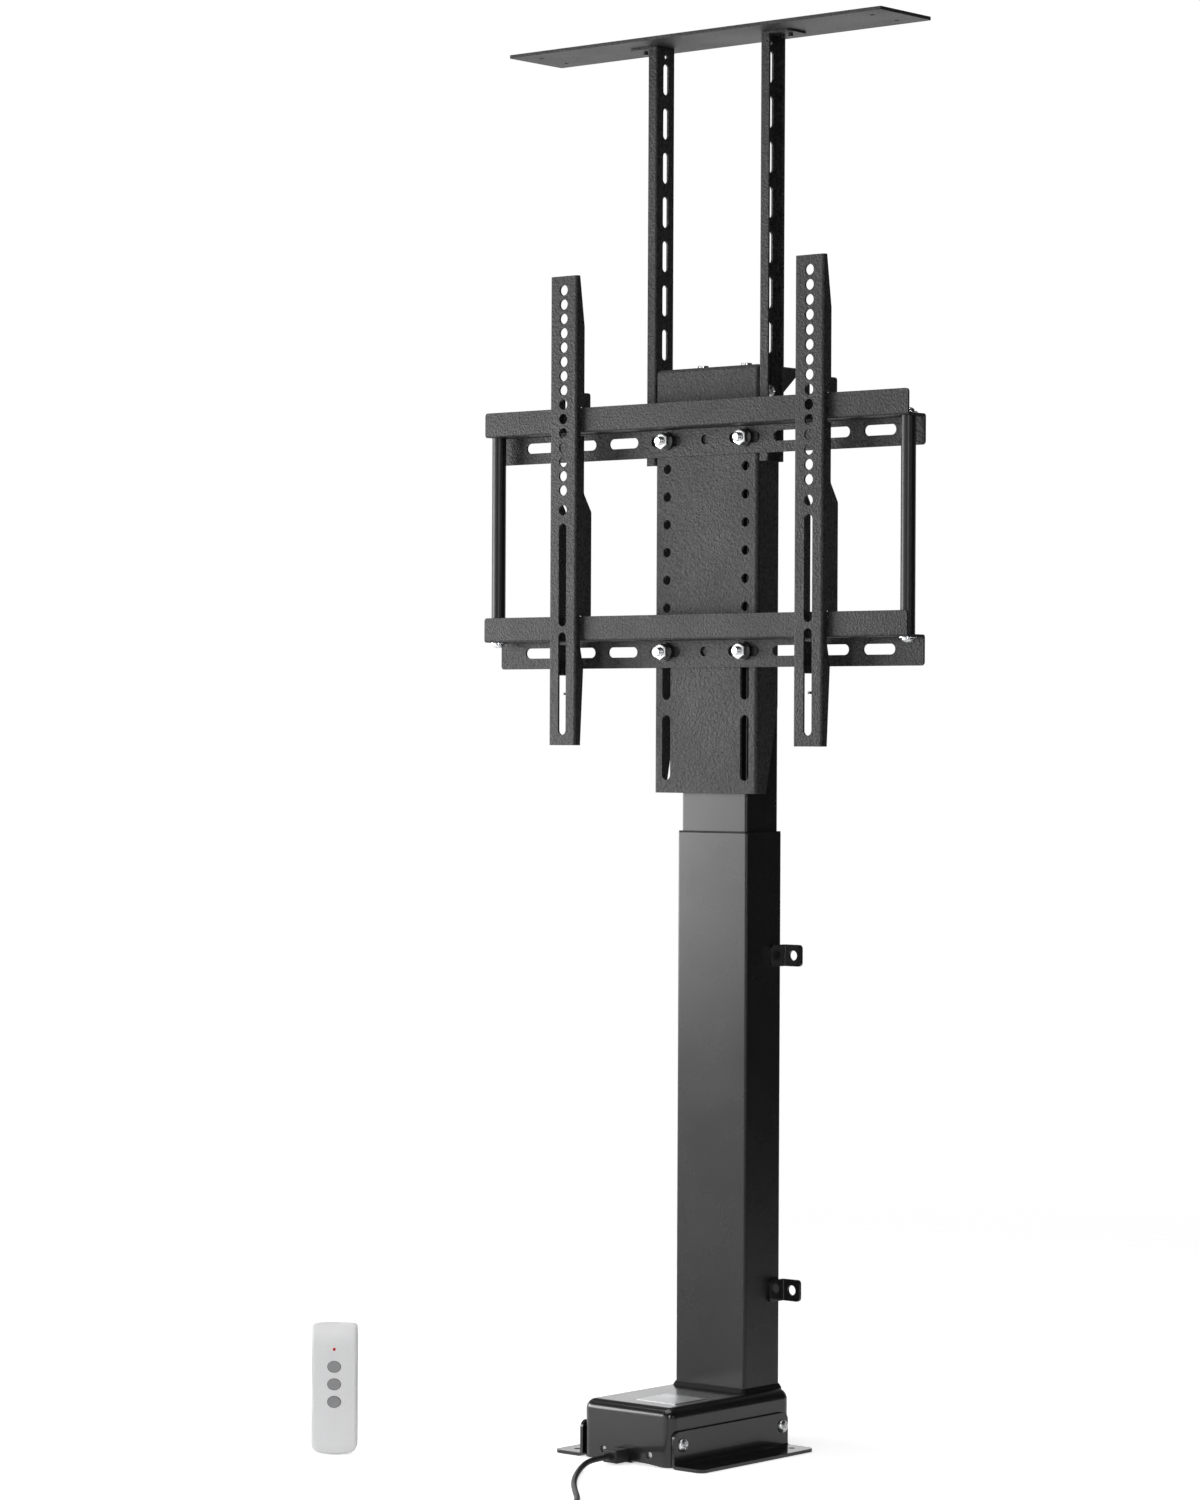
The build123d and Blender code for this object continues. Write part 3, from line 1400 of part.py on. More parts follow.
def make_mains_plug(end):
    """Flat two pin plug that lies on the floor, with its tapered strain relief."""
    x, y, z = end
    relief_end = x + plug_relief_length
    near = Plane(origin=(x, y, z), z_dir=(1, 0, 0))
    far = Plane(origin=(relief_end, y, z), z_dir=(1, 0, 0))
    plug = loft([near * Circle(cord_radius + seat_gap), far * Circle(plug_relief_radius)])
    half_thick = plug_thick / 2
    outline = shape_of([
        (relief_end, y - plug_tail_wide / 2), (relief_end + plug_length / 2, y - plug_wide / 2),
        (relief_end + plug_length, y - plug_wide / 2), (relief_end + plug_length, y + plug_wide / 2),
        (relief_end + plug_length / 2, y + plug_wide / 2), (relief_end, y + plug_tail_wide / 2),
    ])
    outline = rounded(outline, plug_corner, [
        (relief_end + plug_length / 2, y - plug_wide / 2), (relief_end + plug_length, y - plug_wide / 2),
        (relief_end + plug_length, y + plug_wide / 2), (relief_end + plug_length / 2, y + plug_wide / 2),
    ])
    body = bar(outline, 0, 0, (z - half_thick, z + half_thick))
    flats = body.faces().filter_by(Axis.Z)
    body = fillet([edge for face in flats for edge in face.edges()], plug_corner / 2)
    plug += body
    for side in (-1, 1):
        pin_x = (relief_end + plug_length - plug_corner, relief_end + plug_length + plug_pin_length)
        pin = rod(plug_pin_radius, pin_x, y + side * plug_pin_spacing / 2, z)
        tip = [edge for edge in pin.edges() if edge.center().X > pin_x[1] - running_gap]
        plug += fillet(tip, plug_pin_radius / 2)
    return plug


# Hand control
def remote_outline(grow):
    """Front view of the hand control, with both ends crowned."""
    half = remote_wide / 2 + grow
    low = remote_foot_crown - grow
    high = remote_tall - remote_crown + grow
    edges = [
        Line((-half, low), (-half, high)),
        ThreePointArc((-half, high), (0, remote_tall + grow), (half, high)),
        Line((half, high), (half, low)),
        ThreePointArc((half, low), (0, -grow), (-half, low)),
    ]
    outline = rounded(make_face(edges), remote_corner + grow, [(-half, high), (half, high)])
    return rounded(outline, remote_foot_corner + grow, [(-half, low), (half, low)])


def remote_side(sink):
    """Side view of the hand control: its face, sunk by so much, curves back below the top."""
    face = -remote_deep / 2
    radius = (remote_brow**2 + remote_brow_depth**2) / (2 * remote_brow_depth)
    brow_z = remote_tall - remote_brow
    block = shape_of([
        (face + sink, -remote_deep), (remote_deep, -remote_deep),
        (remote_deep, remote_tall + remote_deep), (face + sink, remote_tall + remote_deep),
    ])
    keep = Pos(face + radius, brow_z) * Circle(radius - sink)
    over = shape_of([
        (face, brow_z), (face + radius, brow_z), (face + radius, brow_z + radius), (face, brow_z + radius),
    ])
    return block - (over - keep)


def remote_body():
    y = (-remote_deep / 2, remote_deep / 2)
    span = (-remote_wide, remote_wide)
    body = bar(remote_outline(0), 0, y, 0) & bar(remote_side(0), span, 0, 0)
    rim = [edge for edge in body.edges() if rim_edge(edge)]
    body = fillet(rim, remote_side_round)
    inside_y = (y[0] + remote_wall, y[1] - remote_wall)
    inside = bar(remote_outline(-remote_wall), 0, inside_y, 0) & bar(remote_side(remote_wall), span, 0, 0)
    return body, inside


def rim_edge(edge):
    """Whether an edge runs round the face or the back, and not along the depth or across the face."""
    along_depth = abs(edge.bounding_box().size.Y - remote_deep) < remote_deep / 2
    across_face = abs(edge.center().X) < slide_gap and edge.center().Z < remote_tall - remote_brow / 2
    across_face = across_face and edge.center().Z > remote_tall / 2
    return not along_depth and not across_face


def remote_lines():
    """Fine grooves down both sides of the face, which step out to the edge above the foot."""
    span = (-remote_wide, remote_wide)
    skin = bar(remote_side(0), span, 0, 0) - bar(remote_side(remote_line_deep), span, 0, 0)
    middle = remote_wide / 2 - remote_line_inset
    z = (remote_line_foot, remote_tall - remote_line_head)
    face = -remote_deep / 2
    groove = brick((middle - remote_line / 2, middle + remote_line / 2), (-remote_deep, 0), z) & skin
    step_x = (middle - remote_line / 2, remote_wide / 2 + cut_over)
    step_y = (face - cut_over, face + remote_wall - remote_line)
    groove += brick(step_x, step_y, (remote_line_foot, remote_line_foot + remote_line))
    return [groove, mirrored(groove)]


def button_heights():
    return [button_stop_z + step * button_pitch for step in (1, 0, -1)]


def oval(gap):
    return Ellipse(button_half_wide + gap, button_half_tall + gap)


def remote_half(front):
    body, inside = remote_body()
    split = -remote_deep / 2 + remote_split
    span = (-remote_wide, remote_wide)
    y = (-remote_deep, split) if front else (split, remote_deep)
    shell = (body - inside) & brick(span, y, (-remote_wide, remote_tall + remote_wide))
    if front:
        face = (-remote_deep / 2 - cut_over, -remote_deep / 2 + remote_wall + cut_over)
        for z in button_heights():
            shell -= bar(oval(button_gap), 0, face, z)
        shell -= rod(lamp_radius + running_gap, 0, face, lamp_z)
        for groove in remote_lines():
            shell -= groove
    return shell


def make_button(z, mark):
    """Oval key with its raised mark, and a rim behind the front shell that keeps it in."""
    face = -remote_deep / 2
    inside = face + remote_wall + button_travel
    key = bar(oval(0), 0, (face - button_stand, inside), z)
    front_edges = [edge for edge in key.edges() if edge.center().Y < face]
    key = fillet(front_edges, button_stand / 2)
    key += bar(oval(button_rim), 0, (face + remote_wall + running_gap, inside + button_rim_thick), z)
    mark_y = (face - button_stand - button_mark, face - button_stand + button_mark)
    return key + bar(mark, 0, mark_y, z)


def square_mark():
    side = button_mark_wide * square_mark_share
    inner = side - 2 * button_mark_line
    return Rectangle(side, side * square_mark_share) - Rectangle(inner, inner * square_hole_share)


def chevron_mark(way):
    half = button_mark_wide / 2
    rise = way * half * chevron_rise_share
    line = way * button_mark_line * chevron_line_share
    return shape_of([
        (-half, -rise / 2), (0, rise / 2), (half, -rise / 2),
        (half, -rise / 2 - line), (0, rise / 2 - line), (-half, -rise / 2 - line),
    ])


def make_remote_board():
    half = remote_wide / 2 - remote_wall - remote_board_margin
    keys_behind = button_travel + button_rim_thick + remote_pocket + button_travel
    front = -remote_deep / 2 + remote_wall + keys_behind
    board = brick(
        (-half, half), (front, front + remote_board_thick),
        (remote_foot_corner + remote_board_margin, remote_tall - remote_brow),
    )
    return board


def make_remote_lamp():
    face = -remote_deep / 2
    board_front_y = make_remote_board().bounding_box().min.Y
    lamp = rod(lamp_radius, 0, (face - lamp_stand, board_front_y), lamp_z)
    tip = [edge for edge in lamp.edges() if edge.center().Y < face]
    return fillet(tip, lamp_stand)


def make_remote_battery():
    back = make_remote_board().bounding_box().max.Y
    return rod(battery_radius, 0, (back, back + battery_thick), battery_z)


def stood(shape):
    return Pos(remote_x, remote_y, 0) * Rot(0, 0, remote_turn) * shape


def main():
    save(make_motor_housing(), "motor_housing")
    save(make_base_plate(), "base_plate")
    right_foot = make_right_foot()
    save(right_foot, "right_foot_bracket")
    save(mirrored(right_foot), "left_foot_bracket")
    save(make_housing_screws(), "housing_screws")
    save(make_blank_plate(), "blank_plate")
    save(make_outer_tube(), "outer_tube")
    save(make_column_skirt(), "column_skirt")
    save(make_guide_collar(), "guide_collar")
    save(make_wall_lugs(), "wall_lugs")
    save(make_column_foot(), "column_foot")
    save(make_column_screws(), "column_screws")
    save(make_gearbox_half((pan_top, worm_z)), "gearbox_case")
    save(make_gearbox_half((worm_z, gearbox_top)), "gearbox_cover")
    save(make_gearbox_screws(), "gearbox_screws")
    save(make_spindle_bearings(), "spindle_bearings")
    save(make_spindle(), "spindle")
    save(make_worm_wheel(), "worm_wheel")
    save(make_worm_shaft(), "worm_shaft")
    save(make_drive_motor(), "drive_motor")
    save(make_control_board(), "control_board")
    save(make_board_parts(), "board_parts")
    save(make_power_socket(), "power_socket")
    save(make_lead_connector(), "lead_connector")
    save(make_inner_tube(), "inner_tube")
    save(make_tube_cap(), "inner_tube_cap")
    save(make_lower_glide(), "lower_glide")
    save(make_drive_nut(), "drive_nut")
    save(make_carriage_bracket(), "carriage_bracket")
    save(make_cap_screws(), "cap_screws")
    save(make_rail(upper_bolt_z), "upper_rail")
    save(make_rail(lower_bolt_z), "lower_rail")
    save(make_post(-1), "left_post")
    save(make_post(1), "right_post")
    save(make_post_screws(), "post_screws")
    save(make_rail_bolts(), "rail_bolts")
    save(make_rail_nuts(), "rail_nuts")
    right_strut = make_right_strut()
    save(right_strut, "right_strut")
    save(mirrored(right_strut), "left_strut")
    save(make_strut_bolts(), "strut_bolts")
    save(make_lid_plate(), "lid_plate")
    save(make_lid_screws(), "lid_screws")
    save(make_arm(-arm_x), "left_arm")
    save(make_arm(arm_x), "right_arm")
    save(make_lock_screw(-arm_x), "left_lock_screw")
    save(make_lock_screw(arm_x), "right_lock_screw")

    cord, cord_length = make_cord_run(cord_route, "lead_cord")
    save(cord, "lead_cord")
    coil, coil_length, coil_end = make_lead_coil()
    save(coil, "lead_coil")
    tail_points = [tuple(coil_end + Vector(*step)) for step in tail_route]
    tail, tail_length = make_cord_run(tail_points, "lead_tail")
    save(tail, "lead_tail")
    centre = (cord_route[-1][0] + coil_radius, cord_route[-1][1] - coil_end_run, cord_route[-1][2])
    save(make_coil_tie(centre), "coil_tie")
    save(make_mains_plug(tail_points[-1]), "mains_plug")
    print("lead length", round(cord_length + coil_length + tail_length))

    save(stood(remote_half(True)), "remote_front")
    save(stood(remote_half(False)), "remote_back")
    marks = (chevron_mark(1), square_mark(), chevron_mark(-1))
    for z, name, mark in zip(button_heights(), ("up", "stop", "down"), marks):
        save(stood(make_button(z, mark)), "remote_" + name + "_button")
    save(stood(make_remote_board()), "remote_board")
    save(stood(make_remote_lamp()), "remote_lamp")
    save(stood(make_remote_battery()), "remote_battery")


main()
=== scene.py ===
import math

import bpy
from mathutils import Matrix, Vector


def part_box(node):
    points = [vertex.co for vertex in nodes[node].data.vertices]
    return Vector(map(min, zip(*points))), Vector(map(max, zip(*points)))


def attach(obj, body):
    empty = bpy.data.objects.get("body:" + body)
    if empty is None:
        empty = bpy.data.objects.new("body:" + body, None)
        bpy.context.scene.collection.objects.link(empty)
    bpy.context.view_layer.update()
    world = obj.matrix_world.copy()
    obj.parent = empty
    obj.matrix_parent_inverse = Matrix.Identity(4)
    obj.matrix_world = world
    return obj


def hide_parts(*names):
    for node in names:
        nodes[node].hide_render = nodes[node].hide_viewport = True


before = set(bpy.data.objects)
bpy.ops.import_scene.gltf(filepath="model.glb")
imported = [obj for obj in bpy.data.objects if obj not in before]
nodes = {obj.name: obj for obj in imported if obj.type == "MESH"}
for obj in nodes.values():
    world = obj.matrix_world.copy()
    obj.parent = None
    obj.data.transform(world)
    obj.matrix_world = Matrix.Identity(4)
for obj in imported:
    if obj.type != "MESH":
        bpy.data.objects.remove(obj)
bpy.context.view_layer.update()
MM = 0.001
COLUMN_Y = 60.0                    # the column's axis lies this far behind the origin, in mm


def place(x, y, z):
    """Point given in mm about the column's axis, in the row frame in metres."""
    return Vector((x, y + COLUMN_Y, z)) * MM


# Camera, solved from the photograph
def make_camera():
    azimuth, pitch, roll = 0.7065, -0.0022, 0.0046
    focal_pixels, picture_pixels, sensor_tall = 4296.78, 1500, 36.0
    ahead = Vector((-math.sin(azimuth) * math.cos(pitch), math.cos(azimuth) * math.cos(pitch),
                    math.sin(pitch)))
    right = Vector((math.cos(azimuth), math.sin(azimuth), 0))
    up = right.cross(ahead)
    right_rolled = math.cos(roll) * right + math.sin(roll) * up
    up_rolled = -math.sin(roll) * right + math.cos(roll) * up
    data = bpy.data.cameras.new("photo_camera")
    data.sensor_fit = "VERTICAL"
    data.sensor_height = sensor_tall
    data.lens = focal_pixels / picture_pixels * sensor_tall
    data.clip_end = 100
    camera = bpy.data.objects.new("photo_camera", data)
    turn = Matrix((right_rolled, up_rolled, -ahead)).transposed()
    camera.matrix_world = Matrix.Translation(place(2422.7, -3019.1, 632.7)) @ turn.to_4x4()
    bpy.context.scene.collection.objects.link(camera)
    bpy.context.scene.camera = camera


# Materials
def noise_of(tree, scale, detail):
    """Output of a noise in the piece's own space, scale in cells a metre."""
    where = tree.nodes.new("ShaderNodeTexCoord")
    texture = tree.nodes.new("ShaderNodeTexNoise")
    texture.inputs["Scale"].default_value = scale
    texture.inputs["Detail"].default_value = detail
    tree.links.new(where.outputs["Object"], texture.inputs["Vector"])
    return texture.outputs["Fac"]


def material(name, base, roughness, metallic=0.0, coat=0.0, grain=900.0, tone=0.1, bump=0.0,
             bump_grain=None, cloud=0.05, edge=0.4, specular=0.5):
    """Surface with a fine grain, slow changes of roughness and softly rounded edges.

    grain and bump_grain are in cells a metre, tone is how far the colour strays, bump the depth of
    the grain in mm, cloud the stray of the roughness and edge the radius of an edge in mm.
    """
    noise_low, noise_high = 0.3, 0.7
    cloud_grain, coat_roughness, least_roughness = 18, 0.08, 0.02
    tone_detail, cloud_detail, bump_detail = 2, 4, 3
    made = bpy.data.materials.new(name)
    made.use_nodes = True
    tree = made.node_tree
    shader = tree.nodes["Principled BSDF"]
    shader.inputs["Metallic"].default_value = metallic
    shader.inputs["Coat Weight"].default_value = coat
    shader.inputs["Coat Roughness"].default_value = coat_roughness
    shader.inputs["Specular IOR Level"].default_value = specular

    ramp = tree.nodes.new("ShaderNodeValToRGB")
    for stop, spot, share in ((0, noise_low, 1 - tone), (1, noise_high, 1 + tone)):
        ramp.color_ramp.elements[stop].position = spot
        ramp.color_ramp.elements[stop].color = (*[min(1, part * share) for part in base], 1)
    tree.links.new(noise_of(tree, grain, tone_detail), ramp.inputs["Fac"])
    tree.links.new(ramp.outputs["Color"], shader.inputs["Base Color"])

    spread = tree.nodes.new("ShaderNodeMapRange")
    spread.inputs["From Min"].default_value = noise_low
    spread.inputs["From Max"].default_value = noise_high
    spread.inputs["To Min"].default_value = max(least_roughness, roughness - cloud)
    spread.inputs["To Max"].default_value = roughness + cloud
    tree.links.new(noise_of(tree, cloud_grain, cloud_detail), spread.inputs["Value"])
    tree.links.new(spread.outputs["Result"], shader.inputs["Roughness"])

    round_edge = tree.nodes.new("ShaderNodeBevel")
    round_edge.samples = 4
    round_edge.inputs["Radius"].default_value = edge * MM
    normal = round_edge.outputs["Normal"]
    if bump:
        relief = tree.nodes.new("ShaderNodeBump")
        relief.inputs["Strength"].default_value = 1
        relief.inputs["Distance"].default_value = bump * MM
        tree.links.new(noise_of(tree, bump_grain or grain, bump_detail), relief.inputs["Height"])
        tree.links.new(normal, relief.inputs["Normal"])
        normal = relief.outputs["Normal"]
    tree.links.new(normal, shader.inputs["Normal"])
    return made


coat_black = material("textured_black_coat", (0.02, 0.02, 0.0208), 0.5, grain=430, tone=0.9,
                      bump=0.8, bump_grain=480, cloud=0.04, edge=0.5)
tube_black = material("tube_black", (0.012, 0.012, 0.0125), 0.27, grain=500, tone=0.1, bump=0.004,
                      bump_grain=420, cloud=0.03, edge=0.6)
post_black = material("post_black", (0.012, 0.012, 0.0125), 0.34, grain=500, tone=0.1, cloud=0.03,
                      edge=0.4)
gloss_black = material("gloss_black_coat", (0.011, 0.011, 0.0115), 0.22, coat=0.5, grain=400, tone=0.1,
                       bump=0.006, bump_grain=260, cloud=0.03, edge=0.6)
gloss_plastic = material("gloss_black_plastic", (0.01, 0.01, 0.0105), 0.16, grain=300, tone=0.08,
                         cloud=0.03, edge=0.5)
dull_plastic = material("dull_black_plastic", (0.008, 0.008, 0.0085), 0.42, grain=500, tone=0.1, edge=0.3,
                        specular=0.15)
soft_plastic = material("black_plastic", (0.016, 0.016, 0.017), 0.4, grain=700, tone=0.15, bump=0.01,
                        bump_grain=900, edge=0.4)
cord_black = material("black_cord", (0.014, 0.014, 0.015), 0.42, grain=600, tone=0.15, bump=0.01,
                      bump_grain=800, edge=0.2)
chrome = material("bright_screws", (0.86, 0.87, 0.89), 0.14, metallic=1, grain=900, tone=0.05,
                  cloud=0.05, edge=0.25)
bright_zinc = material("bright_zinc", (0.88, 0.89, 0.9), 0.3, metallic=1, grain=900, tone=0.05,
                       cloud=0.05, edge=0.25)
zinc = material("zinc_steel", (0.62, 0.63, 0.65), 0.32, metallic=1, grain=700, tone=0.12, cloud=0.08,
                edge=0.25)
ground = material("ground_steel", (0.58, 0.59, 0.6), 0.24, metallic=1, grain=1200, tone=0.08, edge=0.2)
cast = material("die_cast", (0.5, 0.51, 0.52), 0.5, metallic=1, grain=350, tone=0.12, bump=0.03, edge=0.6)
bronze = material("bronze", (0.6, 0.42, 0.18), 0.3, metallic=1, grain=600, tone=0.1, edge=0.3)
nylon = material("white_nylon", (0.78, 0.78, 0.74), 0.45, grain=300, tone=0.03, edge=0.5)
bare_plate = material("bare_plate", (0.72, 0.73, 0.75), 0.3, metallic=0.85, grain=1400, tone=0.06,
                      cloud=0.06, edge=0.1)
board_green = material("green_board", (0.02, 0.16, 0.06), 0.35, grain=500, tone=0.2, edge=0.1)
pale_plastic = material("pale_plastic", (0.7, 0.7, 0.705), 0.36, grain=900, tone=0.025, bump=0.004,
                        bump_grain=1500, cloud=0.03, edge=0.35)
grey_rubber = material("grey_rubber", (0.25, 0.25, 0.255), 0.5, grain=1200, tone=0.05, bump=0.006, edge=0.3)
red_lens = material("red_lens", (0.6, 0.01, 0.012), 0.12, coat=0.8, grain=500, tone=0.08, edge=0.2)
# Painted shade: a near-black colour for the rings that stand in for the shadow in the gaps round the hand
# control's keys.
painted_gap_shade = material("painted_gap_shade", (0.01, 0.01, 0.01), 0.8, grain=600, tone=0.1, edge=0.1)

node_materials = {
    coat_black: ["carriage_bracket", "upper_rail", "lower_rail", "left_strut", "right_strut", "lid_plate",
                 "left_arm", "right_arm"],
    tube_black: ["outer_tube", "inner_tube"],
    post_black: ["left_post", "right_post", "lid_screws", "left_lock_screw", "right_lock_screw"],
    gloss_black: ["motor_housing", "left_foot_bracket", "right_foot_bracket", "wall_lugs"],
    dull_plastic: ["column_skirt", "guide_collar"],
    soft_plastic: ["board_parts", "power_socket", "lead_connector", "coil_tie", "mains_plug"],
    cord_black: ["lead_cord", "lead_coil", "lead_tail"],
    chrome: ["housing_screws", "post_screws", "rail_bolts", "rail_nuts", "strut_bolts", "cap_screws"],
    zinc: ["base_plate", "column_screws", "gearbox_screws", "drive_motor", "remote_battery"],
    ground: ["spindle", "spindle_bearings", "worm_shaft"],
    cast: ["column_foot", "gearbox_case", "gearbox_cover", "inner_tube_cap"],
    bronze: ["worm_wheel", "drive_nut"],
    nylon: ["lower_glide"],
    bare_plate: ["blank_plate"],
    board_green: ["control_board", "remote_board"],
    pale_plastic: ["remote_front", "remote_back"],
    grey_rubber: ["remote_up_button", "remote_stop_button", "remote_down_button"],
    red_lens: ["remote_lamp"],
}
for surface, names in node_materials.items():
    for name in names:
        mesh = nodes[name].data
        mesh.materials.clear()
        mesh.materials.append(surface)


# Meshes
SHARP_ANGLE = math.radians(35)


def add_mesh(name, shapes, surface, slot, body, *replaced):
    """One piece made of several shapes, each given as (points, faces)."""
    points, faces = [], []
    for more_points, more_faces in shapes:
        start = len(points)
        points += [tuple(point) for point in more_points]
        faces += [tuple(start + index for index in face) for face in more_faces]
    mesh = bpy.data.meshes.new(name)
    mesh.from_pydata(points, [], faces)
    mesh.validate()
    mesh.polygons.foreach_set("use_smooth", [True] * len(mesh.polygons))
    mesh.set_sharp_from_angle(angle=SHARP_ANGLE)
    mesh.materials.append(surface)
    made = bpy.data.objects.new(name, mesh)
    bpy.context.scene.collection.objects.link(made)
    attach(made, body)
    if replaced:
        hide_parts(*replaced)
    return made


def skinned(rings, closed=False):
    """Points and faces over rings of as many points each, capped at both ends or joined round."""
    steps = len(rings[0])
    points = [point for ring in rings for point in ring]
    faces = []
    for span in range(len(rings) if closed else len(rings) - 1):
        low, high = span * steps, (span + 1) % len(rings) * steps
        for step in range(steps):
            after = (step + 1) % steps
            faces.append((low + step, low + after, high + after, high + step))
    if not closed:
        faces.append(tuple(range(steps - 1, -1, -1)))
        faces.append(tuple(range(len(points) - steps, len(points))))
    return points, faces


def revolved(rows, spot, axis, steps=96, closed=False):
    """Shape round an axis. A row is (radius, height) in mm, or gives that pair for an angle."""
    turn = Vector((0, 0, 1)).rotation_difference(Vector(axis))
    rings = []
    for row in rows:
        ring = []
        for step in range(steps):
            angle = 2 * math.pi * step / steps
            radius, height = row(angle) if callable(row) else row
            local = Vector((radius * math.cos(angle), radius * math.sin(angle), height))
            ring.append(spot + (turn @ local) * MM)
        rings.append(ring)
    return skinned(rings, closed)


def crown(radius, base, rise, recess_reach, recess_depth, count=24):
    """Rows from the rim of a screw head to its middle, over a dome with a cross slot in it."""
    arm_wide = 0.42 * recess_reach
    soft_share, middle = 0.2, 0.02

    def row_at(across, height):
        def row(angle):
            off_arm = min(abs(across * math.cos(angle)), abs(across * math.sin(angle)))
            wall = (arm_wide / 2 - off_arm) / (soft_share * arm_wide)
            end = (recess_reach - across) / (soft_share * recess_reach)
            return across, height - recess_depth * max(0, min(1, wall)) * max(0, min(1, end))
        return row

    rows = []
    for index in range(1, count + 1):
        turn = index / count * math.pi / 2
        rows.append(row_at(max(radius * math.cos(turn), middle), base + rise * math.sin(turn)))
    return rows


def cross_screw(spot, axis, head, height, shank, length, flange=0.0, flange_thick=0.0):
    """Screw with a domed cross head that stands on a face, its shank going in."""
    ease, rim_share, reach_share, depth_share = 0.3, 0.15, 0.58, 0.5
    rows = [(shank - ease, -length), (shank, -length + ease), (shank, 0)]
    if flange:
        rows += [(flange - ease, 0), (flange, ease), (flange, flange_thick - ease),
                 (flange - ease, flange_thick)]
    rim = flange_thick + rim_share * height
    rows += [(head, flange_thick), (head, rim)]
    rows += crown(head, rim, height - rim, reach_share * head, depth_share * height)
    return revolved(rows, spot, axis)


def washer(spot, axis, bore, radius, thick):
    ease = 0.2
    rows = [(bore, 0), (radius - ease, 0), (radius, ease), (radius, thick - ease), (radius - ease, thick),
            (bore, thick)]
    return revolved(rows, spot, axis, closed=True)


def hexagon_nut(spot, axis, flats, thick, bore):
    """Nut with its corners cut back by a cone at the free end."""
    half = flats / 2
    seat_share, bore_ease = 0.95, 0.5
    seat = seat_share * half

    def rim(angle):
        return half / math.cos((angle + math.pi / 6) % (math.pi / 3) - math.pi / 6)

    rows = [(bore, 0), lambda angle: (rim(angle), 0),
            lambda angle: (rim(angle), thick - (rim(angle) - seat) * math.tan(math.pi / 6)),
            (seat, thick), (bore + bore_ease, thick), (bore, thick - bore_ease)]
    return revolved(rows, spot, axis, closed=True)


def thread(spot, axis, radius, pitch, low, high):
    """Threaded end of a bolt with a tapered tip, its groove winding round."""
    depth, tip, rows_a_turn = 0.5 * pitch, 1.0, 8
    count = round((high - low) / pitch * rows_a_turn)

    def row_at(height):
        def row(angle):
            phase = (height / pitch - angle / (2 * math.pi)) % 1
            cut = depth * (1 - abs(2 * phase - 1))
            taper = max(0, tip - (high - height))
            return radius - max(cut, taper), height
        return row

    return revolved([row_at(low + (high - low) * ring / count) for ring in range(count + 1)], spot, axis)


# Lead: one spline along the floor, round the coil and on to the plug
ROUTE = [
    (-4.5, -167.0, 7.3), (-4.5, -175.0, 7.3), (-5.2, -187.0, 6.1), (2.5, -205.0, 3.8),
    (19.0, -230.5, 2.6), (42.0, -260.0, 2.6), (68.5, -288.5, 2.6), (96.0, -316.5, 2.6),
    (116.5, -347.5, 3.0), (122.6, -382.0, 3.7), (122.6, -400.0, 3.7), (122.6, -408.0, 3.7),
]
TAIL = [(0.0, -8.0, 0.0), (0.0, -20.0, 0.0), (8.0, -42.0, -1.2), (30.0, -53.5, -2.5), (46.0, -53.5, -2.5)]
COIL_RADIUS, COIL_PITCH, POINTS_A_HALF = 34.6, 5.6, 8


def coil_points(start):
    """Half turns that wind inward on the floor, climb one layer and wind out again."""
    steps = [(-COIL_PITCH / 2, 0)] * 6 + [(COIL_PITCH / 2, COIL_PITCH)] + [(COIL_PITCH / 2, 0)] * 5
    left, radius, side, points = Vector(start), COIL_RADIUS, 1, []
    heading = Vector((0, -1, 0))
    bulge = 1 / (0.75 + 0.25 * math.cos(math.pi / POINTS_A_HALF))
    for grow, climb in steps:
        middle = left + Vector((side * radius, 0, 0))
        for index in range(POINTS_A_HALF):
            share = (index + 0.5) / POINTS_A_HALF
            angle = math.pi * share
            out = Vector((-side, 0, 0)) * math.cos(angle) + heading * math.sin(angle)
            rise = climb * (share - math.sin(2 * math.pi * share) / (2 * math.pi))
            points.append(middle + out * radius * bulge + Vector((0, 0, rise)))
        left = left + Vector((side * 2 * radius, 0, climb))
        heading, side = -heading, -side
        radius += grow
    return points, left


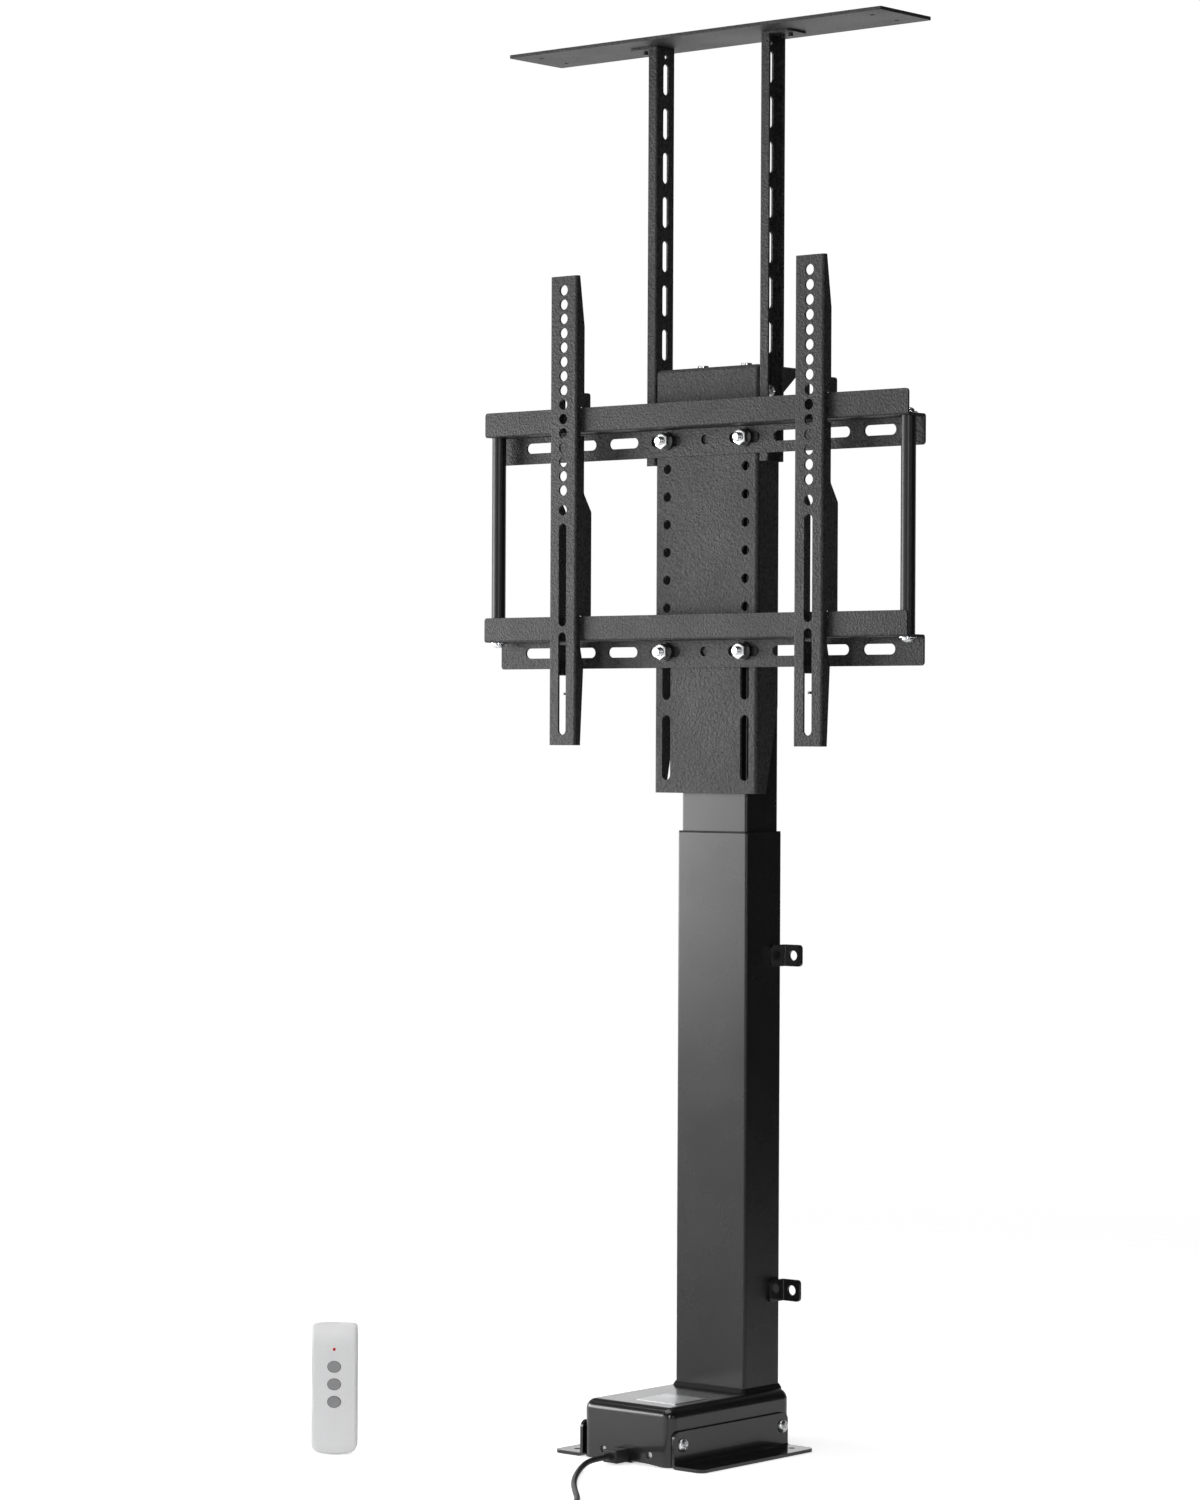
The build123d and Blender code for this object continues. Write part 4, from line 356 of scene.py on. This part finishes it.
def make_plug():
    """Flat two pin plug with a ribbed strain relief, lying along +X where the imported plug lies."""
    low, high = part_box("mains_plug")
    start = Vector((low[0], (low[1] + high[1]) / 2, (low[2] + high[2]) / 2))
    relief, body, half_wide, half_thick, corner = 22.0, 34.0, 17.0, 6.8, 3.0
    thin, thick, groove, rib = 2.8, 4.2, 0.8, 4.0
    corner_points = 8

    def section(x, wide, tall, round_):
        ring = []
        for quarter, (to_side, to_top) in enumerate(((1, 1), (-1, 1), (-1, -1), (1, -1))):
            for step in range(corner_points + 1):
                angle = (quarter + step / corner_points) * math.pi / 2
                y = to_side * (wide - round_) + round_ * math.cos(angle)
                z = to_top * (tall - round_) + round_ * math.sin(angle)
                ring.append(start + Vector((x, y, z)) * MM)
        return ring

    def circle(x, radius):
        return section(x, radius, radius, radius)

    rings = [circle(0, thin)]
    ribs = round(relief / rib) - 1
    for index in range(ribs):
        x = 1 + index * rib
        radius = thin + (thick - thin) * (index + 1) / ribs
        rings += [circle(x, radius), circle(x + 0.6 * rib, radius), circle(x + 0.65 * rib, radius - groove),
                  circle(x + 0.95 * rib, radius - groove)]
    end = relief + body
    tail_wide = 6.5
    rings += [
        circle(relief, thick), section(relief + 0.5, tail_wide - 1, half_thick - 1.2, corner),
        section(relief + 2, tail_wide + 0.5, half_thick - 0.4, corner),
        section(relief + body / 2 - 2, half_wide - 1.4, half_thick, corner),
        section(relief + body / 2 + 1, half_wide, half_thick, corner),
        section(end - 1, half_wide, half_thick, corner),
        section(end, half_wide - 1, half_thick - 1, corner - 1),
    ]
    pin_radius, pin_apart, sleeve, pin = 2.0, 9.3, 10.0, 19.0
    sleeves, pins = [], []
    for side in (-1, 1):
        foot = start + Vector((end, side * pin_apart, 0)) * MM
        sleeve_rows = [(pin_radius, -1), (pin_radius, sleeve), (pin_radius - 0.3, sleeve)]
        sleeves.append(revolved(sleeve_rows, foot, (1, 0, 0)))
        pins.append(revolved([(pin_radius - 0.15, sleeve), (pin_radius - 0.15, pin - 1.2),
                              (pin_radius - 0.7, pin - 0.3), (pin_radius - 1.4, pin)], foot, (1, 0, 0)))
    body_shapes = [skinned(rings), *sleeves]
    return (add_mesh("plug_body", body_shapes, soft_plastic, "black_plastic", "base", "mains_plug"),
            add_mesh("plug_pins", pins, chrome, "bright_screws", "base"))


def make_lead():
    turns, end = coil_points((122.6, -411.0, 3.7))
    end = end + Vector((0, -5, 0))
    route = [Vector(point) for point in ROUTE] + turns + [end + Vector(step) for step in TAIL]
    curve = bpy.data.curves.new("lead", "CURVE")
    curve.dimensions = "3D"
    curve.bevel_depth = 2.5 * MM
    curve.bevel_resolution = 6
    curve.resolution_u = 8
    curve.use_fill_caps = True
    spline = curve.splines.new("NURBS")
    spline.points.add(len(route) - 1)
    for point, spot in zip(spline.points, route):
        point.co = (*place(*spot), 1)
    spline.order_u = 3
    spline.use_endpoint_u = True
    lead = bpy.data.objects.new("lead", curve)
    bpy.context.scene.collection.objects.link(lead)
    curve.materials.append(cord_black)
    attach(lead, "base")
    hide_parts("lead_cord", "lead_coil", "lead_tail")
    make_plug()


make_camera()
make_lead()


# Screws, bolts and nuts, at places in mm about the column's axis
FRONT = (0, -1, 0)


def make_base_screws():
    """Four foot screws with their nuts, and two small flat screws in the housing's front holes."""
    shapes, front_shapes = [], []
    foot_face, nut_face, level = 54.0, 46.25, 20.0
    front_x, front_level, front_face = 26.2, 9.6, -138.75
    for side in (-1, 1):
        for y in (-128.5, 12.0):
            shapes.append(cross_screw(place(side * foot_face, y, level), (side, 0, 0), 5.8, 3.6, 2.5, 11.7))
            shapes.append(hexagon_nut(place(side * nut_face, y, level), (-side, 0, 0), 8, 4, 2.5))
        spot = place(side * front_x, front_face, front_level)
        front_shapes.append(cross_screw(spot, FRONT, 2.6, 0.8, 1.75, 7))
    add_mesh("base_screws", shapes, bright_zinc, "bright_screws", "base", "housing_screws")
    add_mesh("front_screws", front_shapes, zinc, "zinc_steel", "base")


def make_rail_fasteners():
    bolts, nuts, washers = [], [], []
    head_face, nut_face, radius, pitch, tip = -33.5, -38.0, 4.0, 1.25, 13.0
    washer_thick, washer_radius, bore_clear, flats, nut_thick = 1.6, 8.5, 0.2, 13, 6.5
    head_radius, head_height, edge = 9.0, 3.2, 0.5
    for x in (-45, 45):
        for z in (902.3, 712.8):
            spot = place(x, nut_face, z)
            washers.append(washer(spot, FRONT, radius + bore_clear, washer_radius, washer_thick))
            nut_spot = spot - Vector((0, washer_thick, 0)) * MM
            nuts.append(hexagon_nut(nut_spot, FRONT, flats, nut_thick, radius))
            bolts.append(thread(spot, FRONT, radius, pitch, washer_thick + nut_thick / 2, tip))
            rows = [(radius, nut_face - head_face - washer_thick), (radius, 0)]
            rows += [(head_radius, 0), (head_radius, edge)]
            rows += crown(head_radius, edge, head_height - edge, 0.01, 0)
            bolts.append(revolved(rows, place(x, head_face, z), (0, 1, 0)))
    add_mesh("rail_bolts_threaded", bolts, bright_zinc, "bright_screws", "lift", "rail_bolts")
    add_mesh("rail_nuts_hexagonal", nuts, bright_zinc, "bright_screws", "lift", "rail_nuts")
    add_mesh("rail_washers", washers, post_black, "black_gloss", "lift")


def make_post_screws():
    shapes = []
    for side in (-1, 1):
        for z, way in ((722.9, -1), (914.4, 1)):
            spot = place(side * 235, -50.82, z)
            shapes.append(cross_screw(spot, (0, 0, way), 5.4, 5.0, 3.0, 15.7, 8.0, 1.2))
    add_mesh("post_screws_flanged", shapes, chrome, "bright_screws", "lift", "post_screws")


def make_strut_bolts():
    shapes = []
    head_face, nut_face, middle = 61.6, 56.5, -22.9
    for side in (-1, 1):
        for z in (943.3, 903.3):
            spot = place(side * head_face, middle, z)
            shapes.append(cross_screw(spot, (side, 0, 0), 5.6, 4.2, 3.0, 10.1))
            shapes.append(hexagon_nut(place(side * nut_face, middle, z), (-side, 0, 0), 10, 5, 3))
    add_mesh("strut_bolts_domed", shapes, bright_zinc, "bright_screws", "lift", "strut_bolts")


def make_key_gap_painted_shade():
    """Dark rings of painted shade in the gap round each oval key of the hand control, standing in for the
    shadow in that gap.
    """
    turn = math.radians(40.5)
    across = Vector((math.cos(turn), math.sin(turn), 0))
    inward = Vector((-math.sin(turn), math.cos(turn), 0))
    middle = place(-225, -275, 0)
    half_wide, half_tall, face = 5.7, 4.8, -7.5
    steps = 72
    shapes = []
    for level in (77.8, 62.3, 46.8):
        rings = []
        for grow, depth in ((0.1, 0.3), (0.1, -0.03), (0.42, -0.03), (0.42, 0.3)):
            ring = []
            for step in range(steps):
                angle = 2 * math.pi * step / steps
                side, up = (half_wide + grow) * math.cos(angle), (half_tall + grow) * math.sin(angle)
                step_out = across * side + inward * (face + depth) + Vector((0, 0, level + up))
                ring.append(middle + step_out * MM)
            rings.append(ring)
        shapes.append(skinned(rings, closed=True))
    # These rings are painted shade, a dark sheet put where the gap holds only shadow.
    add_mesh("key_gap_painted_shade", shapes, painted_gap_shade, "black_plastic", "hand_control")


make_base_screws()
make_rail_fasteners()
make_post_screws()
make_strut_bolts()
make_key_gap_painted_shade()


# Studio
def make_floor():
    """Pale floor, seen as white, that fades away far from the object."""
    half, level = 6.0, -0.0004
    fade_start, fade_end = 0.5, 2.2
    mesh = bpy.data.meshes.new("studio_floor")
    corners = [(-half, -half, level), (half, -half, level), (half, half, level), (-half, half, level)]
    mesh.from_pydata(corners, [], [(0, 1, 2, 3)])
    floor = bpy.data.objects.new("studio_floor", mesh)
    bpy.context.scene.collection.objects.link(floor)
    surface = bpy.data.materials.new("studio_floor")
    surface.use_nodes = True
    tree = surface.node_tree
    shader = tree.nodes["Principled BSDF"]
    shader.inputs["Base Color"].default_value = (0.93, 0.93, 0.93, 1)
    shader.inputs["Roughness"].default_value = 0.7
    shader.inputs["Specular IOR Level"].default_value = 0.15
    shader.inputs["Emission Color"].default_value = (1, 1, 1, 1)
    seen = tree.nodes.new("ShaderNodeLightPath")
    glow = None
    for ray, strength in (("Is Camera Ray", 0.62), ("Is Glossy Ray", 0.22)):
        share = tree.nodes.new("ShaderNodeMath")
        share.operation = "MULTIPLY_ADD"
        share.inputs[1].default_value = strength
        tree.links.new(seen.outputs[ray], share.inputs[0])
        if glow:
            tree.links.new(glow, share.inputs[2])
        else:
            share.inputs[2].default_value = 0
        glow = share.outputs["Value"]
    tree.links.new(glow, shader.inputs["Emission Strength"])
    where = tree.nodes.new("ShaderNodeTexCoord")
    length = tree.nodes.new("ShaderNodeVectorMath")
    length.operation = "LENGTH"
    tree.links.new(where.outputs["Object"], length.inputs[0])
    fade = tree.nodes.new("ShaderNodeMapRange")
    fade.inputs["From Min"].default_value = fade_start
    fade.inputs["From Max"].default_value = fade_end
    tree.links.new(length.outputs["Value"], fade.inputs["Value"])
    clear = tree.nodes.new("ShaderNodeBsdfTransparent")
    mixed = tree.nodes.new("ShaderNodeMixShader")
    tree.links.new(fade.outputs["Result"], mixed.inputs["Fac"])
    tree.links.new(shader.outputs["BSDF"], mixed.inputs[1])
    tree.links.new(clear.outputs["BSDF"], mixed.inputs[2])
    tree.links.new(mixed.outputs["Shader"], tree.nodes["Material Output"].inputs["Surface"])
    mesh.materials.append(surface)


def make_world():
    """White background for the camera. Reflections see it low down, with a dark flag on the right."""
    world = bpy.data.worlds.new("studio")
    world.use_nodes = True
    tree = world.node_tree
    tree.nodes.clear()
    path = tree.nodes.new("ShaderNodeLightPath")
    where = tree.nodes.new("ShaderNodeTexCoord")
    apart = tree.nodes.new("ShaderNodeSeparateXYZ")
    tree.links.new(where.outputs["Generated"], apart.inputs["Vector"])

    def fall(direction, start, end, least):
        made = tree.nodes.new("ShaderNodeMapRange")
        for name, value in (("From Min", start), ("From Max", end), ("To Min", 1.0), ("To Max", least)):
            made.inputs[name].default_value = value
        tree.links.new(apart.outputs[direction], made.inputs["Value"])
        return made.outputs["Result"]

    flag = tree.nodes.new("ShaderNodeMath")
    flag.operation = "MULTIPLY"
    tree.links.new(fall("X", -0.15, 0.4, 0.03), flag.inputs[0])
    tree.links.new(fall("Z", 0.22, 0.5, 0.12), flag.inputs[1])

    def background(color_strength):
        made = tree.nodes.new("ShaderNodeBackground")
        made.inputs["Strength"].default_value = color_strength
        return made

    def mix(share, first, second):
        made = tree.nodes.new("ShaderNodeMixShader")
        tree.links.new(share, made.inputs["Fac"])
        tree.links.new(first, made.inputs[1])
        tree.links.new(second, made.inputs[2])
        return made.outputs["Shader"]

    seen, soft, reflected = background(1.0), background(0.06), background(1.0)
    for made in (seen, soft):
        made.inputs["Color"].default_value = (1, 1, 1, 1)
    tree.links.new(flag.outputs["Value"], reflected.inputs["Color"])
    light = mix(path.outputs["Is Glossy Ray"], soft.outputs["Background"], reflected.outputs["Background"])
    light = mix(path.outputs["Is Transmission Ray"], light, seen.outputs["Background"])
    light = mix(path.outputs["Is Camera Ray"], light, seen.outputs["Background"])
    out = tree.nodes.new("ShaderNodeOutputWorld")
    tree.links.new(light, out.inputs["Surface"])
    bpy.context.scene.world = world


def softbox(name, spot, aim, width, height, power, spread=180.0):
    data = bpy.data.lights.new(name, "AREA")
    data.shape = "RECTANGLE"
    data.size, data.size_y = width, height
    data.energy = power
    data.spread = math.radians(spread)
    box = bpy.data.objects.new(name, data)
    box.location = spot
    box.rotation_euler = (Vector(aim) - Vector(spot)).to_track_quat("-Z", "Y").to_euler()
    box.visible_camera = False
    bpy.context.scene.collection.objects.link(box)


make_floor()
make_world()
softbox("key", (-1.7, -1.1, 0.68), (0, 0.05, 0.68), 1.3, 0.75, 26)
softbox("top", (-0.5, -0.5, 3.4), (0, 0, 0), 3.0, 3.0, 60)
softbox("hand_light", (1.3, -1.9, 1.5), (-0.26, -0.2, 0.05), 0.25, 0.25, 0.16, 14)
softbox("edge", (1.9, -2.4, 1.0), (0, 0, 0.55), 0.7, 1.6, 16)
softbox("strip", (2.9, -0.7, 0.8), (0, 0.05, 0.8), 0.22, 1.5, 3)
bpy.context.scene.view_settings.view_transform = "Standard"
